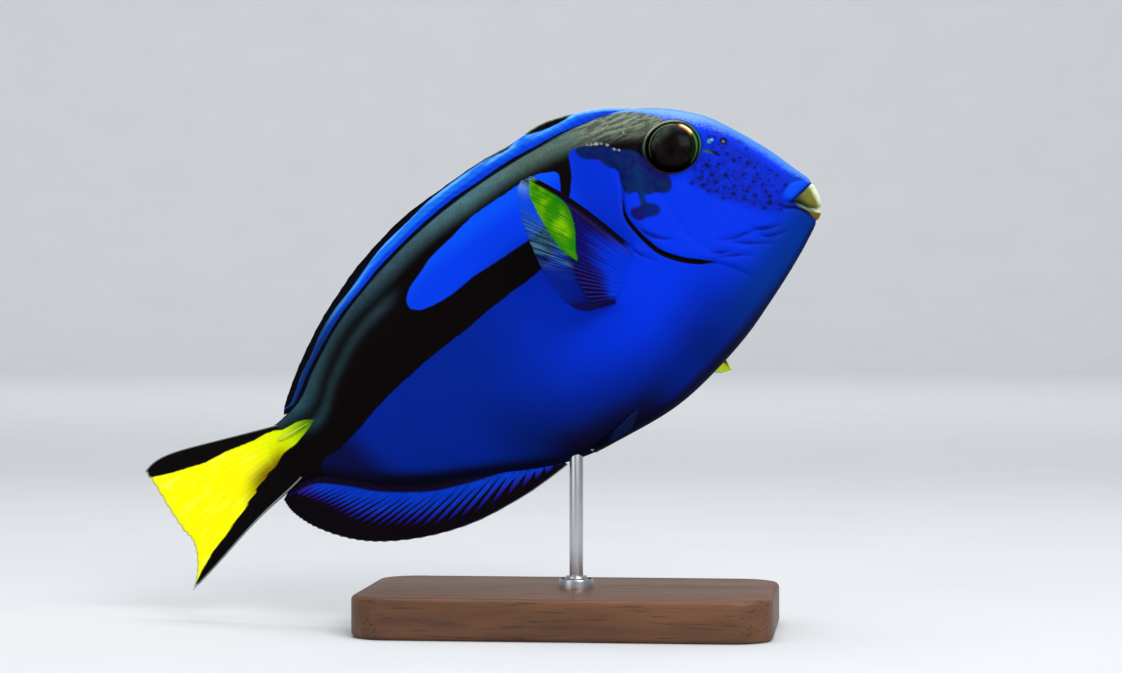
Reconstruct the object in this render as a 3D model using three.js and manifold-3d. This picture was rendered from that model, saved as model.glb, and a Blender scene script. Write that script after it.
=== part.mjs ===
// A regal blue tang, life size, swimming nose up on a plain display stand.
// Millimetres, +Z up. The fish is built straight, with its nose at the origin, x forward,
// y to its left and z up. Then its tail is bent, and it is pitched, banked and set on the stand.

import * as THREE from 'three';
import { mergeVertices } from 'three/addons/utils/BufferGeometryUtils.js';
import Module from 'manifold-3d';

const wasm = await Module();
wasm.setup();

// Pose and stand
const NOSE_HEIGHT = 123;
const NOSE_UP = THREE.MathUtils.degToRad(27);
const BANK = THREE.MathUtils.degToRad(8);
const TAIL_BEND = THREE.MathUtils.degToRad(10);
const BEND_START = 100;
const BEND_END = 176;
const GAP = 0.3;
const ROD_BACK = 95.5;
const ROD_RADIUS = 2;
const BASE_LENGTH = 120;
const BASE_WIDTH = 70;
const BASE_HEIGHT = 12;
const BASE_FORWARD = -2;
const BASE_CORNER = 12;
const BASE_BEVEL = 1.5;
const ROD_SOCKET_DEPTH = 8;
const FERRULE_RADIUS = 5;
const FERRULE_HEIGHT = 3.5;

// Side profile and half width of the body: distance back from the nose, then the size there
const BACK_LINE = [
  [-1.7, 3.2], [-1.5, 5.4], [-1.1, 7.8], [0, 10.3], [1.6, 13.5], [4.8, 20], [8.5, 26.2], [12.4, 32],
  [16.4, 37.4], [21, 41.7], [28.2, 46.8], [38.5, 51.4], [51.5, 53.4], [64, 53.5], [77.3, 52.8],
  [91.5, 51.1], [106.2, 48.1], [121.9, 43.2], [130, 39.7], [138, 36.2], [145, 32.4], [151, 28.3],
  [156.5, 24.4], [160.5, 20.9], [164, 18.9], [168.8, 17.4], [171.5, 16.7], [175, 16.3], [179, 16],
];
const BELLY_LINE = [
  [-1.7, 3.2], [-1.2, 1.2], [0, -1.6], [2.1, -3.8], [7.4, -8], [15.3, -13.3], [24.2, -18.6],
  [33.4, -23.7], [46, -29], [61.2, -33.5], [78.1, -34.9], [94.4, -34.5], [105, -32.2], [117, -28],
  [130, -23.4], [142, -18.6], [151.4, -13.8], [158, -9.6], [163, -5.8], [168, -3.4], [174, -2.8],
  [179, -3.4],
];
const HALF_WIDTH = [
  [-1.7, 0], [-1.2, 1.6], [0, 2.9], [3, 4.4], [8, 6.2], [15, 8.2], [24, 10.3], [34, 12.2], [44, 13.4],
  [56, 14.1], [70, 14], [85, 13], [100, 11.4], [115, 9.5], [130, 7.5], [145, 5.6], [158, 4.2],
  [168, 3.5], [174, 2.7], [177, 1.9], [179, 1],
];
const WIDEST_HEIGHT = 0.53;
const FLANK_POWER = 1.12;
const BODY_RINGS = 46;
const BODY_SIDES = 36;
const NOSE = -1.7;
const STALK_END = 179;

// Lines that part the body, each a few points back from the nose and up
const GILL_SLIT = [
  [44, 54], [46, 45], [46.4, 38], [46.3, 34], [47.4, 29], [49.6, 23.5], [50.4, 20], [49.8, 16],
  [48.4, 11.4], [46.1, 6.4], [41.9, 2], [37.3, -1.1], [33, -3.4], [27.9, -8.4], [23.8, -15], [21.5, -22],
];
const COVER_FRONT = [[35.2, -1.6], [36.6, 4], [37.6, 11], [38.2, 18], [39.4, 25], [41.6, 31], [45.6, 36]];
const COVER_PROUD = 0.5;
const COVER_THICKNESS = 2.4;
const MOUTH_LINE = [[-6, -3.2], [0.6, -0.2], [2.6, 0.8], [4.8, 1.7], [7.8, 2.6]];
const UPPER_LIP_BACK = [[7.8, 2.6], [5.9, 4], [3, 5], [-0.8, 6.3], [-6, 8]];
const LOWER_LIP_BACK = [[7.8, 2.6], [4.9, 0.7], [3.2, -1.5], [2.2, -3.8], [-1, -8]];
const LIP_PROUD = 0.45;
const MOUTH_CORNER = [[7.2, 2], [11, 4.6], [7.2, 3]];
const STALK_START = 160;

// Eyes, nostrils and tail spines
const EYE = { back: 29.8, up: 32.9, radius: 7.5, bulge: 1.9, depth: 4.4 };
const ORBIT_RIM = { radius: 8.1, thickness: 0.85 };
const NOSTRILS = [
  { back: 18.5, up: 30.2, radius: 0.8 },
  { back: 15.9, up: 28.2, radius: 0.55 },
];
const TAIL_SPINE = { back: 167.6, up: 11.4, length: 11.5, height: 2.1, width: 1.9, lean: -0.09 };

// Unpaired fins: the outer edge from front to back, with the number of rays
const DORSAL = {
  rays: 28, sink: 2.6, from: 37, to: 163, slant: 0.3, bow: 0, membrane: 0.7, root: 1.3, ridge: 0.3,
  edge: [
    [36, 51], [43.5, 54.9], [52, 57.5], [61.9, 59.2], [72.4, 57.9], [82.6, 57.5], [97, 55.5],
    [111.5, 52.9], [127.9, 47.1], [137, 42.6], [146.8, 37.1], [158.2, 28.9], [167, 21.1], [169.3, 17.9],
  ],
};
const ANAL = {
  rays: 22, sink: 2.6, from: 100, to: 167, slant: 0.4, bow: 1.2, membrane: 0.7, root: 1.3, ridge: 0.3,
  edge: [
    [98.4, -34.6], [105.3, -35.9], [115, -37.1], [130, -37.3], [144, -34.9], [156.9, -30.4],
    [166.6, -24.7], [175.2, -16.5], [179.9, -9.2], [180.8, -4.6],
  ],
};
const CAUDAL = {
  rays: 16, root: [172, -1.6, 15.8], membrane: 0.65, rootThickness: 1.8, ridge: 0.28,
  upperBow: 4.2, lowerBow: 29,
  edge: [
    [219.3, -15.4], [216.3, -11.9], [213.7, -6.5], [213, -2], [214.2, 2.1], [215.3, 9.3],
    [216.2, 17.8], [217.2, 23.1],
  ],
};

// Paired fins: the base line on the flank, and the tips of the rays from the first to the last
const PECTORAL = { rays: 14, baseFrom: [52.3, 9.6], baseTo: [62.6, -1], sink: 1.6, membrane: 0.55, root: 1.3, ridge: 0.2 };
const RIGHT_PECTORAL_TIPS = [
  [0, [67.6, -40.4, 37.4]], [0.07, [70.8, -40.5, 37.4]], [0.15, [72.9, -40.1, 35.3]],
  [0.27, [74.8, -38.4, 30.2]], [0.4, [76, -36, 24.1]], [0.52, [76.9, -33, 17.1]],
  [0.66, [76.8, -29.4, 9.5]], [0.8, [75.3, -25.4, 2.9]], [0.9, [72.4, -22.4, -0.4]], [1, [67.5, -19.8, -1.3]],
];
const LEFT_PECTORAL_TIPS = [
  [0, [45.9, 40.4, -26]], [0.1, [48.6, 41, -25.4]], [0.3, [54, 39.8, -22.5]], [0.55, [62.5, 35, -18.2]],
  [0.8, [68.5, 27.5, -12.5]], [1, [69, 20.4, -7.5]],
];
const PELVIC = { rays: 4, from: 68.5, to: 73.5, tip: 90, width: 5.2, drop: 0.55, membrane: 0.6, root: 1.2, ridge: 0.18 };

// Finishes
const BLUE = new THREE.MeshStandardMaterial({ color: 0x0c3bd8, roughness: 0.5 });
const BLACK = new THREE.MeshStandardMaterial({ color: 0x0a0c14, roughness: 0.5 });
const YELLOW = new THREE.MeshStandardMaterial({ color: 0xf7e312, roughness: 0.5 });
const LIP = new THREE.MeshStandardMaterial({ color: 0x8f93a8, roughness: 0.5 });
const EYE_BLACK = new THREE.MeshStandardMaterial({ color: 0x05060a, roughness: 0.1 });
const SPINE_YELLOW = new THREE.MeshStandardMaterial({ color: 0xc4cf3c, roughness: 0.35 });
const WALNUT = new THREE.MeshStandardMaterial({ color: 0x4a2d1b, roughness: 0.5 });
const STEEL = new THREE.MeshStandardMaterial({ color: 0xb9bcc0, roughness: 0.3, metalness: 1 });

// A smooth curve through a few points, as a function from the first number of each to its second
function through(points) {
  const last = points.length - 1;
  const rise = i => (points[i + 1][1] - points[i][1]) / (points[i + 1][0] - points[i][0]);
  const slopes = points.map(([x], i) => {
    if (i === 0) return rise(0);
    if (i === last) return rise(last - 1);
    const before = x - points[i - 1][0];
    const after = points[i + 1][0] - x;
    return (rise(i - 1) * after + rise(i) * before) / (before + after);
  });
  return value => {
    const x = THREE.MathUtils.clamp(value, points[0][0], points[last][0]);
    let i = 0;
    while (i < last - 1 && x > points[i + 1][0]) i += 1;
    const span = points[i + 1][0] - points[i][0];
    const t = (x - points[i][0]) / span;
    const start = (1 + 2 * t) * (1 - t) ** 2 * points[i][1] + t * (1 - t) ** 2 * span * slopes[i];
    const end = t * t * (3 - 2 * t) * points[i + 1][1] + t * t * (t - 1) * span * slopes[i + 1];
    return start + end;
  };
}

const backAt = through(BACK_LINE);
const bellyAt = through(BELLY_LINE);
const halfWidthAt = through(HALF_WIDTH);

// A point of the skin: turn is 0 on the back, a quarter turn on the left flank, half a turn below
function skinPoint(back, turn) {
  const top = backAt(back);
  const bottom = bellyAt(back);
  const middle = bottom + WIDEST_HEIGHT * (top - bottom);
  const rise = Math.cos(turn);
  const side = Math.sin(turn);
  const up = middle + rise * (rise > 0 ? top - middle : middle - bottom);
  const left = Math.sign(side) * Math.abs(side) ** FLANK_POWER * halfWidthAt(back);
  return new THREE.Vector3(-back, left, up);
}

// How far the flank stands out from the middle at a height
function flankAt(back, up) {
  const top = backAt(back);
  const bottom = bellyAt(back);
  const middle = bottom + WIDEST_HEIGHT * (top - bottom);
  const share = Math.min(1, Math.abs(up - middle) / (up > middle ? top - middle : middle - bottom));
  return halfWidthAt(back) * (1 - share * share) ** (FLANK_POWER / 2);
}

// Closed solids from three.js geometry, and back
function solid(geometry) {
  const bare = geometry.clone();
  bare.deleteAttribute('normal');
  bare.deleteAttribute('uv');
  const merged = mergeVertices(bare, 1e-5);
  return new wasm.Manifold(new wasm.Mesh({
    numProp: 3,
    vertProperties: new Float32Array(merged.attributes.position.array),
    triVerts: new Uint32Array(merged.index.array),
  }));
}

function solidOf(points, triangles) {
  return new wasm.Manifold(new wasm.Mesh({
    numProp: 3,
    vertProperties: new Float32Array(points.flatMap(point => point.toArray())),
    triVerts: new Uint32Array(triangles.flat()),
  }));
}

function largestPiece(whole) {
  return whole.decompose().sort((a, b) => b.volume() - a.volume())[0];
}

function geometryOf(whole) {
  const { vertProperties, triVerts } = whole.getMesh();
  const geometry = new THREE.BufferGeometry();
  geometry.setAttribute('position', new THREE.BufferAttribute(new Float32Array(vertProperties), 3));
  geometry.setIndex(new THREE.BufferAttribute(new Uint32Array(triVerts), 1));
  geometry.computeVertexNormals();
  return geometry;
}

// The tail swings to the left along an arc from the middle of the body to the end of the stalk
function bend(geometry) {
  const radius = (BEND_END - BEND_START) / TAIL_BEND;
  const position = geometry.attributes.position;
  for (let i = 0; i < position.count; i += 1) {
    const back = -position.getX(i);
    const left = position.getY(i);
    const angle = THREE.MathUtils.clamp(back - BEND_START, 0, BEND_END - BEND_START) / radius;
    const beyond = Math.max(back - BEND_END, 0);
    const along = Math.min(back, BEND_START) + radius * Math.sin(angle) + beyond * Math.cos(angle);
    const aside = radius * (1 - Math.cos(angle)) + beyond * Math.sin(angle);
    position.setX(i, -(along - Math.sin(angle) * left));
    position.setY(i, aside + Math.cos(angle) * left);
  }
  geometry.computeVertexNormals();
  return geometry;
}

// The whole body as rings from the nose to the end of the tail stalk, moved out along its normals
function bodySolid(grow) {
  const points = [new THREE.Vector3(-NOSE, 0, backAt(NOSE))];
  const triangles = [];
  const at = (ring, side) => (ring === 0 ? 0 : 1 + (ring - 1) * BODY_SIDES + (side % BODY_SIDES));
  for (let ring = 1; ring <= BODY_RINGS; ring += 1) {
    const back = NOSE + (STALK_END - NOSE) * (ring / BODY_RINGS) ** 1.6;
    for (let side = 0; side < BODY_SIDES; side += 1) {
      points.push(skinPoint(back, (side / BODY_SIDES) * 2 * Math.PI));
    }
  }
  for (let ring = 0; ring < BODY_RINGS; ring += 1) {
    for (let side = 0; side < BODY_SIDES; side += 1) {
      if (ring > 0) triangles.push([at(ring, side), at(ring, side + 1), at(ring + 1, side + 1)]);
      triangles.push([at(ring, side), at(ring + 1, side + 1), at(ring + 1, side)]);
    }
  }
  const end = points.length;
  points.push(new THREE.Vector3(-STALK_END, 0, (backAt(STALK_END) + bellyAt(STALK_END)) / 2));
  for (let side = 0; side < BODY_SIDES; side += 1) {
    triangles.push([end, at(BODY_RINGS, side), at(BODY_RINGS, side + 1)]);
  }
  const skin = new THREE.BufferGeometry().setFromPoints(points);
  skin.setIndex(triangles.flat());
  skin.computeVertexNormals();
  const normals = skin.attributes.normal;
  const moved = points.map((point, i) => point.clone().addScaledVector(new THREE.Vector3().fromBufferAttribute(normals, i), grow));
  return solidOf(moved, triangles);
}

// A slab across the fish: a side outline carried from one side to the other
function slab(outline, right = -30, left = 30) {
  const shape = new THREE.Shape(outline.map(([back, up]) => new THREE.Vector2(-back, up)));
  const geometry = new THREE.ExtrudeGeometry(shape, { depth: left - right, bevelEnabled: false });
  geometry.rotateX(Math.PI / 2);
  geometry.translate(0, left, 0);
  return solid(geometry);
}

function smoothLine(points, steps) {
  return new THREE.SplineCurve(points.map(([x, y]) => new THREE.Vector2(x, y)))
    .getPoints(steps).map(point => point.toArray());
}

// A side outline with every edge moved out by a distance
function widened(outline, distance) {
  const count = outline.length;
  const area = outline.reduce((sum, [x, y], i) => {
    const [nextX, nextY] = outline[(i + 1) % count];
    return sum + x * nextY - nextX * y;
  }, 0);
  const out = Math.sign(area) * distance;
  return outline.map(([x, y], i) => {
    const [beforeX, beforeY] = outline[(i + count - 1) % count];
    const [afterX, afterY] = outline[(i + 1) % count];
    const before = new THREE.Vector2(y - beforeY, beforeX - x).normalize();
    const after = new THREE.Vector2(afterY - y, x - afterX).normalize();
    const both = before.clone().add(after).normalize();
    const reach = out / Math.max(0.5, both.dot(before));
    return [x + both.x * reach, y + both.y * reach];
  });
}

// An ellipsoid with its poles on the left and right
function ellipsoid(back, left, up, radii, segments = 24, rings = 12) {
  const geometry = new THREE.SphereGeometry(1, segments, rings);
  geometry.scale(radii[0], radii[1], radii[2]);
  geometry.translate(-back, left, up);
  return solid(geometry);
}

// A fin: a membrane on a grid, two columns to a ray, thicker along the rays than between them
function finSolid({ middle, rays, rows, thickness, ridge, notch }) {
  const columns = 2 * (rays - 1);
  const front = [];
  const rear = [];
  const step = 0.004;
  for (let column = 0; column <= columns; column += 1) {
    const onRay = column % 2 === 0;
    const t = column / columns;
    for (let row = 0; row <= rows; row += 1) {
      const r = (row / rows) * (onRay ? 1 : 1 - notch);
      const along = middle(Math.min(t + step, 1), r).sub(middle(Math.max(t - step, 0), r));
      const outward = middle(t, Math.min(r + step, 1)).sub(middle(t, Math.max(r - step, 0)));
      const normal = along.cross(outward).normalize();
      const half = thickness(r) / 2 + (onRay ? ridge * (1 - 0.6 * r) : 0);
      front.push(middle(t, r).addScaledVector(normal, half));
      rear.push(middle(t, r).addScaledVector(normal, -half));
    }
  }
  const count = front.length;
  const at = (column, row) => column * (rows + 1) + row;
  const triangles = [];
  for (let column = 0; column < columns; column += 1) {
    for (let row = 0; row < rows; row += 1) {
      const [a, b, c, d] = [at(column, row), at(column + 1, row), at(column + 1, row + 1), at(column, row + 1)];
      triangles.push([a, b, c], [a, c, d]);
      triangles.push([count + a, count + c, count + b], [count + a, count + d, count + c]);
    }
  }
  const border = [];
  for (let column = 0; column < columns; column += 1) border.push(at(column, 0));
  for (let row = 0; row < rows; row += 1) border.push(at(columns, row));
  for (let column = columns; column > 0; column -= 1) border.push(at(column, rows));
  for (let row = rows; row > 0; row -= 1) border.push(at(0, row));
  border.forEach((a, i) => {
    const b = border[(i + 1) % border.length];
    triangles.push([b, a, count + a], [b, count + a, count + b]);
  });
  return solidOf([...front, ...rear], triangles);
}

const body = bodySolid(0);
const bodyAndGap = bodySolid(GAP);

// An unpaired fin stands in the middle plane, its root sunk in the body and its rays slanted back
function medianFin(fin, rootHeight) {
  const edge = new THREE.SplineCurve(fin.edge.map(([back, up]) => new THREE.Vector2(back, up)));
  const middle = (t, r) => {
    const back = THREE.MathUtils.lerp(fin.from, fin.to, t);
    const outer = edge.getPoint(Math.min(1, t + fin.slant * t * (1 - t)));
    const root = new THREE.Vector3(-back, 0, rootHeight(back));
    const point = root.lerp(new THREE.Vector3(-outer.x, 0, outer.y), r);
    point.z += fin.bow * t ** 8 * 4 * r * (1 - r);
    return point;
  };
  const thickness = r => THREE.MathUtils.lerp(fin.root, fin.membrane, r);
  const sheet = finSolid({ middle, rays: fin.rays, rows: 3, thickness, ridge: fin.ridge, notch: 0.02 });
  return largestPiece(sheet.subtract(bodyAndGap));
}

function caudalFin() {
  const edge = new THREE.SplineCurve(CAUDAL.edge.map(([back, up]) => new THREE.Vector2(back, up)));
  const [rootBack, rootLow, rootHigh] = CAUDAL.root;
  const middle = (t, r) => {
    const outer = edge.getPoint(t);
    const root = new THREE.Vector3(-rootBack, 0, THREE.MathUtils.lerp(rootLow, rootHigh, t));
    const point = root.lerp(new THREE.Vector3(-outer.x, 0, outer.y), r);
    point.z += CAUDAL.upperBow * t * t * r * (1 - r ** 8);
    point.z += CAUDAL.lowerBow * (1 - t) ** 4 * r * r * (1 - r) ** 3;
    return point;
  };
  const thickness = r => THREE.MathUtils.lerp(CAUDAL.rootThickness, CAUDAL.membrane, Math.sqrt(r));
  const sheet = finSolid({ middle, rays: CAUDAL.rays, rows: 8, thickness, ridge: CAUDAL.ridge, notch: 0.02 });
  return largestPiece(sheet.subtract(bodyAndGap));
}

// A pectoral fin fans out from an oblique line on the flank
function pectoralFin(side, tips) {
  const tip = [0, 1, 2].map(axis => through(tips.map(([t, point]) => [t, point[axis]])));
  const middle = (t, r) => {
    const back = THREE.MathUtils.lerp(PECTORAL.baseFrom[0], PECTORAL.baseTo[0], t);
    const up = THREE.MathUtils.lerp(PECTORAL.baseFrom[1], PECTORAL.baseTo[1], t);
    const root = new THREE.Vector3(-back, side * (flankAt(back, up) - PECTORAL.sink), up);
    const point = root.lerp(new THREE.Vector3(-tip[0](t), tip[1](t), tip[2](t)), r);
    point.y += side * 2.4 * r * (1 - r);
    return point;
  };
  const thickness = r => THREE.MathUtils.lerp(PECTORAL.root, PECTORAL.membrane, Math.sqrt(r));
  const sheet = finSolid({ middle, rays: PECTORAL.rays, rows: 6, thickness, ridge: PECTORAL.ridge, notch: 0.03 });
  return largestPiece(sheet.subtract(bodyAndGap));
}

// A pelvic fin is folded back along the keel of the belly
function pelvicFin(side) {
  const middle = (t, r) => {
    const back = THREE.MathUtils.lerp(THREE.MathUtils.lerp(PELVIC.from, PELVIC.to, t), PELVIC.tip, r);
    const across = PELVIC.width * (0.35 + (1 - t) * (1 - r)) * 0.75;
    const up = bellyAt(back) + across;
    const lift = 0.4 + PELVIC.drop * r * (1 - 0.3 * t) - 1.6 * (1 - r) ** 4;
    return new THREE.Vector3(-back, side * (flankAt(back, up) + lift), up - lift);
  };
  const thickness = r => THREE.MathUtils.lerp(PELVIC.root, PELVIC.membrane, r);
  const sheet = finSolid({ middle, rays: PELVIC.rays, rows: 6, thickness, ridge: PELVIC.ridge, notch: 0.03 });
  return largestPiece(sheet.subtract(bodyAndGap));
}

// The head block in front of the gill slit, and what is cut out of it
const slit = smoothLine(GILL_SLIT, 28);
const headOutline = [[-8, 70], [43, 70], ...slit, [21, -30], [-8, -30]];
const coverRear = slit.filter(([, up]) => up < 36 && up > -1.2);
const coverOutline = [...coverRear, ...smoothLine(COVER_FRONT, 8)];
const upperLipOutline = [...smoothLine(MOUTH_LINE, 8), ...smoothLine(UPPER_LIP_BACK, 8).slice(1)];
const lowerLipOutline = [...smoothLine(MOUTH_LINE, 8), ...smoothLine(LOWER_LIP_BACK, 8).slice(1), [-6, -8]];

function eyeCentre(side) {
  return side * (flankAt(EYE.back, EYE.up) + EYE.bulge - EYE.depth);
}

function eyeSolid(side, extra) {
  const radii = [EYE.radius + extra, EYE.depth + extra, EYE.radius + extra];
  return ellipsoid(EYE.back, eyeCentre(side), EYE.up, radii);
}

// A low raised rim round the eye, leaning with the surface of the head
function orbitRim(side) {
  const geometry = new THREE.TorusGeometry(ORBIT_RIM.radius, ORBIT_RIM.thickness, 6, 28);
  geometry.rotateX(Math.PI / 2);
  const position = geometry.attributes.position;
  for (let i = 0; i < position.count; i += 1) {
    const back = EYE.back - position.getX(i);
    const up = EYE.up + position.getZ(i);
    const left = side * (flankAt(back, up) - 0.35) + position.getY(i);
    position.setXYZ(i, -back, left, up);
  }
  return solid(geometry);
}

function head() {
  const innerCover = innerBody(COVER_THICKNESS + GAP);
  const innerMouth = innerBody(1.4);
  let block = body.intersect(slab(headOutline));
  for (const side of [-1, 1]) block = block.add(orbitRim(side));
  block = block.subtract(slab(widened(coverOutline, GAP)).subtract(innerCover));
  block = block.subtract(slab(widened(upperLipOutline, GAP))).subtract(slab(widened(lowerLipOutline, GAP)));
  block = block.subtract(slab(MOUTH_CORNER).subtract(innerMouth));
  for (const side of [-1, 1]) {
    block = block.subtract(eyeSolid(side, GAP));
    for (const { back, up, radius } of NOSTRILS) {
      block = block.subtract(ellipsoid(back, side * flankAt(back, up), up, [radius, radius * 1.6, radius * 0.8], 8, 4));
    }
  }
  return largestPiece(block);
}

// The body drawn in by a depth, between the nose and the middle of the flank
function innerBody(depth) {
  return bodySolid(-depth).intersect(slab([[5, 60], [75, 60], [75, -40], [5, -40]]));
}

function gillCovers() {
  const plate = bodySolid(COVER_PROUD).subtract(innerBody(COVER_THICKNESS)).intersect(slab(coverOutline));
  const pieces = plate.decompose().sort((a, b) => b.volume() - a.volume()).slice(0, 2);
  return pieces.sort((a, b) => a.boundingBox().min[1] - b.boundingBox().min[1]);
}

function lips() {
  const proud = bodySolid(LIP_PROUD);
  const upper = proud.intersect(slab(widened(upperLipOutline, -GAP / 2)));
  const lower = proud.intersect(slab(widened(lowerLipOutline, -GAP / 2)));
  return [upper, lower].map(largestPiece);
}

function tailSpine(side, extra) {
  const { back, up, length, height, width, lean } = TAIL_SPINE;
  const geometry = new THREE.SphereGeometry(1, 10, 8);
  geometry.rotateZ(Math.PI / 2);
  geometry.scale(length / 2 + extra, width / 2 + extra, height / 2 + extra);
  geometry.rotateZ(side * lean);
  geometry.translate(-back, side * (flankAt(back, up) + 0.25), up);
  return solid(geometry);
}

function trunk() {
  const forward = slab([[-8, 70], [-8, -60], [STALK_START - GAP / 2, -60], [STALK_START - GAP / 2, 70]]);
  return largestPiece(body.intersect(forward).subtract(slab(widened(headOutline, GAP))));
}

function tailStalk() {
  const rear = slab([[STALK_START + GAP / 2, -60], [250, -60], [250, 70], [STALK_START + GAP / 2, 70]]);
  let stalk = body.intersect(rear);
  for (const side of [-1, 1]) stalk = stalk.subtract(tailSpine(side, GAP));
  return largestPiece(stalk);
}

// The fish, each part its own mesh
const fish = new THREE.Group();
const [rightCover, leftCover] = gillCovers();
const [upperLip, lowerLip] = lips();
const fishParts = [
  ['head', head(), BLUE],
  ['upper_lip', upperLip, LIP],
  ['lower_lip', lowerLip, LIP],
  ['gill_cover_right', rightCover, BLUE],
  ['gill_cover_left', leftCover, BLUE],
  ['eye_right', eyeSolid(-1, 0), EYE_BLACK],
  ['eye_left', eyeSolid(1, 0), EYE_BLACK],
  ['trunk', trunk(), BLUE],
  ['tail_stalk', tailStalk(), BLACK],
  ['dorsal_fin', medianFin(DORSAL, back => backAt(back) - DORSAL.sink), BLUE],
  ['anal_fin', medianFin(ANAL, back => bellyAt(back) + ANAL.sink), BLUE],
  ['caudal_fin', caudalFin(), YELLOW],
  ['pectoral_fin_right', pectoralFin(-1, RIGHT_PECTORAL_TIPS), BLUE],
  ['pectoral_fin_left', pectoralFin(1, LEFT_PECTORAL_TIPS), BLUE],
  ['pelvic_fin_right', pelvicFin(-1), BLUE],
  ['pelvic_fin_left', pelvicFin(1), BLUE],
  ['tail_spine_right', tailSpine(-1, 0), SPINE_YELLOW],
  ['tail_spine_left', tailSpine(1, 0), SPINE_YELLOW],
];
for (const [name, whole, material] of fishParts) {
  const mesh = new THREE.Mesh(bend(geometryOf(whole)), material);
  mesh.name = name;
  fish.add(mesh);
}

// Nose up about the left axis, then banked about the fish's own length
fish.rotation.order = 'YXZ';
fish.rotation.y = -NOSE_UP;
fish.rotation.x = -BANK;
fish.position.z = NOSE_HEIGHT;
fish.updateMatrix();

const model = new THREE.Group();
model.add(fish);

// The rod stands under the belly behind the pelvic fins
const rodFoot = new THREE.Vector3(-ROD_BACK, 0, bellyAt(ROD_BACK)).applyMatrix4(fish.matrix);

function addStandPart(name, geometry, material) {
  const mesh = new THREE.Mesh(geometry, material);
  mesh.name = name;
  model.add(mesh);
}

function standBase() {
  const x = BASE_LENGTH / 2 - BASE_BEVEL;
  const y = BASE_WIDTH / 2 - BASE_BEVEL;
  const corner = BASE_CORNER - BASE_BEVEL;
  const shape = new THREE.Shape();
  shape.absarc(x - corner, y - corner, corner, 0, Math.PI / 2);
  shape.absarc(corner - x, y - corner, corner, Math.PI / 2, Math.PI);
  shape.absarc(corner - x, corner - y, corner, Math.PI, Math.PI * 1.5);
  shape.absarc(x - corner, corner - y, corner, Math.PI * 1.5, Math.PI * 2);
  const geometry = new THREE.ExtrudeGeometry(shape, {
    depth: BASE_HEIGHT - 2 * BASE_BEVEL,
    bevelSize: BASE_BEVEL,
    bevelThickness: BASE_BEVEL,
    bevelSegments: 3,
    curveSegments: 6,
  });
  geometry.translate(rodFoot.x + BASE_FORWARD, rodFoot.y, BASE_BEVEL);
  const socket = new THREE.CylinderGeometry(ROD_RADIUS + GAP, ROD_RADIUS + GAP, 2 * ROD_SOCKET_DEPTH, 24);
  socket.rotateX(Math.PI / 2);
  socket.translate(rodFoot.x, rodFoot.y, BASE_HEIGHT);
  return geometryOf(solid(geometry).subtract(solid(socket)));
}

function standRod() {
  const bottom = BASE_HEIGHT - ROD_SOCKET_DEPTH + GAP;
  const top = rodFoot.z + 12;
  const geometry = new THREE.CylinderGeometry(ROD_RADIUS, ROD_RADIUS, top - bottom, 24);
  geometry.rotateX(Math.PI / 2);
  geometry.translate(rodFoot.x, rodFoot.y, (top + bottom) / 2);
  const posedBody = bend(geometryOf(bodyAndGap)).applyMatrix4(fish.matrix);
  const below = solid(geometry).subtract(solid(posedBody)).decompose();
  return geometryOf(below.sort((a, b) => a.boundingBox().min[2] - b.boundingBox().min[2])[0]);
}

function standFerrule() {
  const inner = ROD_RADIUS + GAP;
  const low = BASE_HEIGHT + GAP;
  const high = low + FERRULE_HEIGHT;
  const profile = [
    [inner, low], [FERRULE_RADIUS, low], [FERRULE_RADIUS, low + 1.2], [FERRULE_RADIUS - 0.6, low + 2.2],
    [FERRULE_RADIUS - 1.6, high - 0.3], [inner + 0.7, high], [inner, high - 0.3], [inner, low],
  ].map(([radius, height]) => new THREE.Vector2(radius, height));
  const geometry = new THREE.LatheGeometry(profile, 24);
  geometry.rotateX(Math.PI / 2);
  geometry.translate(rodFoot.x, rodFoot.y, 0);
  return geometryOf(solid(geometry));
}

addStandPart('stand_base', standBase(), WALNUT);
addStandPart('stand_rod', standRod(), STEEL);
addStandPart('stand_ferrule', standFerrule(), STEEL);

// The origin is under the middle of the whole, on the table
const bounds = new THREE.Box3().setFromObject(model, true);
const centre = bounds.getCenter(new THREE.Vector3());
model.position.set(-centre.x, -centre.y, -bounds.min.z);

export default model;
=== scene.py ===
# %% [markdown]
# # A regal blue tang on its stand
#
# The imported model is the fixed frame. It gives the true outline of the fish, and this script dresses it:
# one smooth skin over the flesh, finer fins, glossy eyes, painted markings, and a wood and steel stand.
# Lengths are written in millimetres, as on a workshop drawing, and become metres at the last moment.

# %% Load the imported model
import math

import bpy
import numpy as np
from mathutils import Matrix, Vector


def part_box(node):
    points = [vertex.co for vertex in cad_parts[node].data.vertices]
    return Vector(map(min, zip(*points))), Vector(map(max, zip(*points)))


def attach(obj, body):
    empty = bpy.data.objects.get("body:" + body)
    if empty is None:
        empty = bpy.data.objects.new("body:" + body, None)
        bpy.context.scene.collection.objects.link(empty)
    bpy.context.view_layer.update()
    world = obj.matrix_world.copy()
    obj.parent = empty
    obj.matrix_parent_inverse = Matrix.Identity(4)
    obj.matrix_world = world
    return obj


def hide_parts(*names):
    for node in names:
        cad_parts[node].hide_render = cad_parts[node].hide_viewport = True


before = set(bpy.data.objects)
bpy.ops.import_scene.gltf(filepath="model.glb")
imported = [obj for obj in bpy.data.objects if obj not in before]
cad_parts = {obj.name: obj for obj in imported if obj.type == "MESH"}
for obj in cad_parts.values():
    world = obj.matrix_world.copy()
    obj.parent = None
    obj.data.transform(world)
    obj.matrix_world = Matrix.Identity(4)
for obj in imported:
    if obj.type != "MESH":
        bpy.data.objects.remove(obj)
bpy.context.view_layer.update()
MM = 0.001
print("nodes in the frame:", len(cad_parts))

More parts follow.
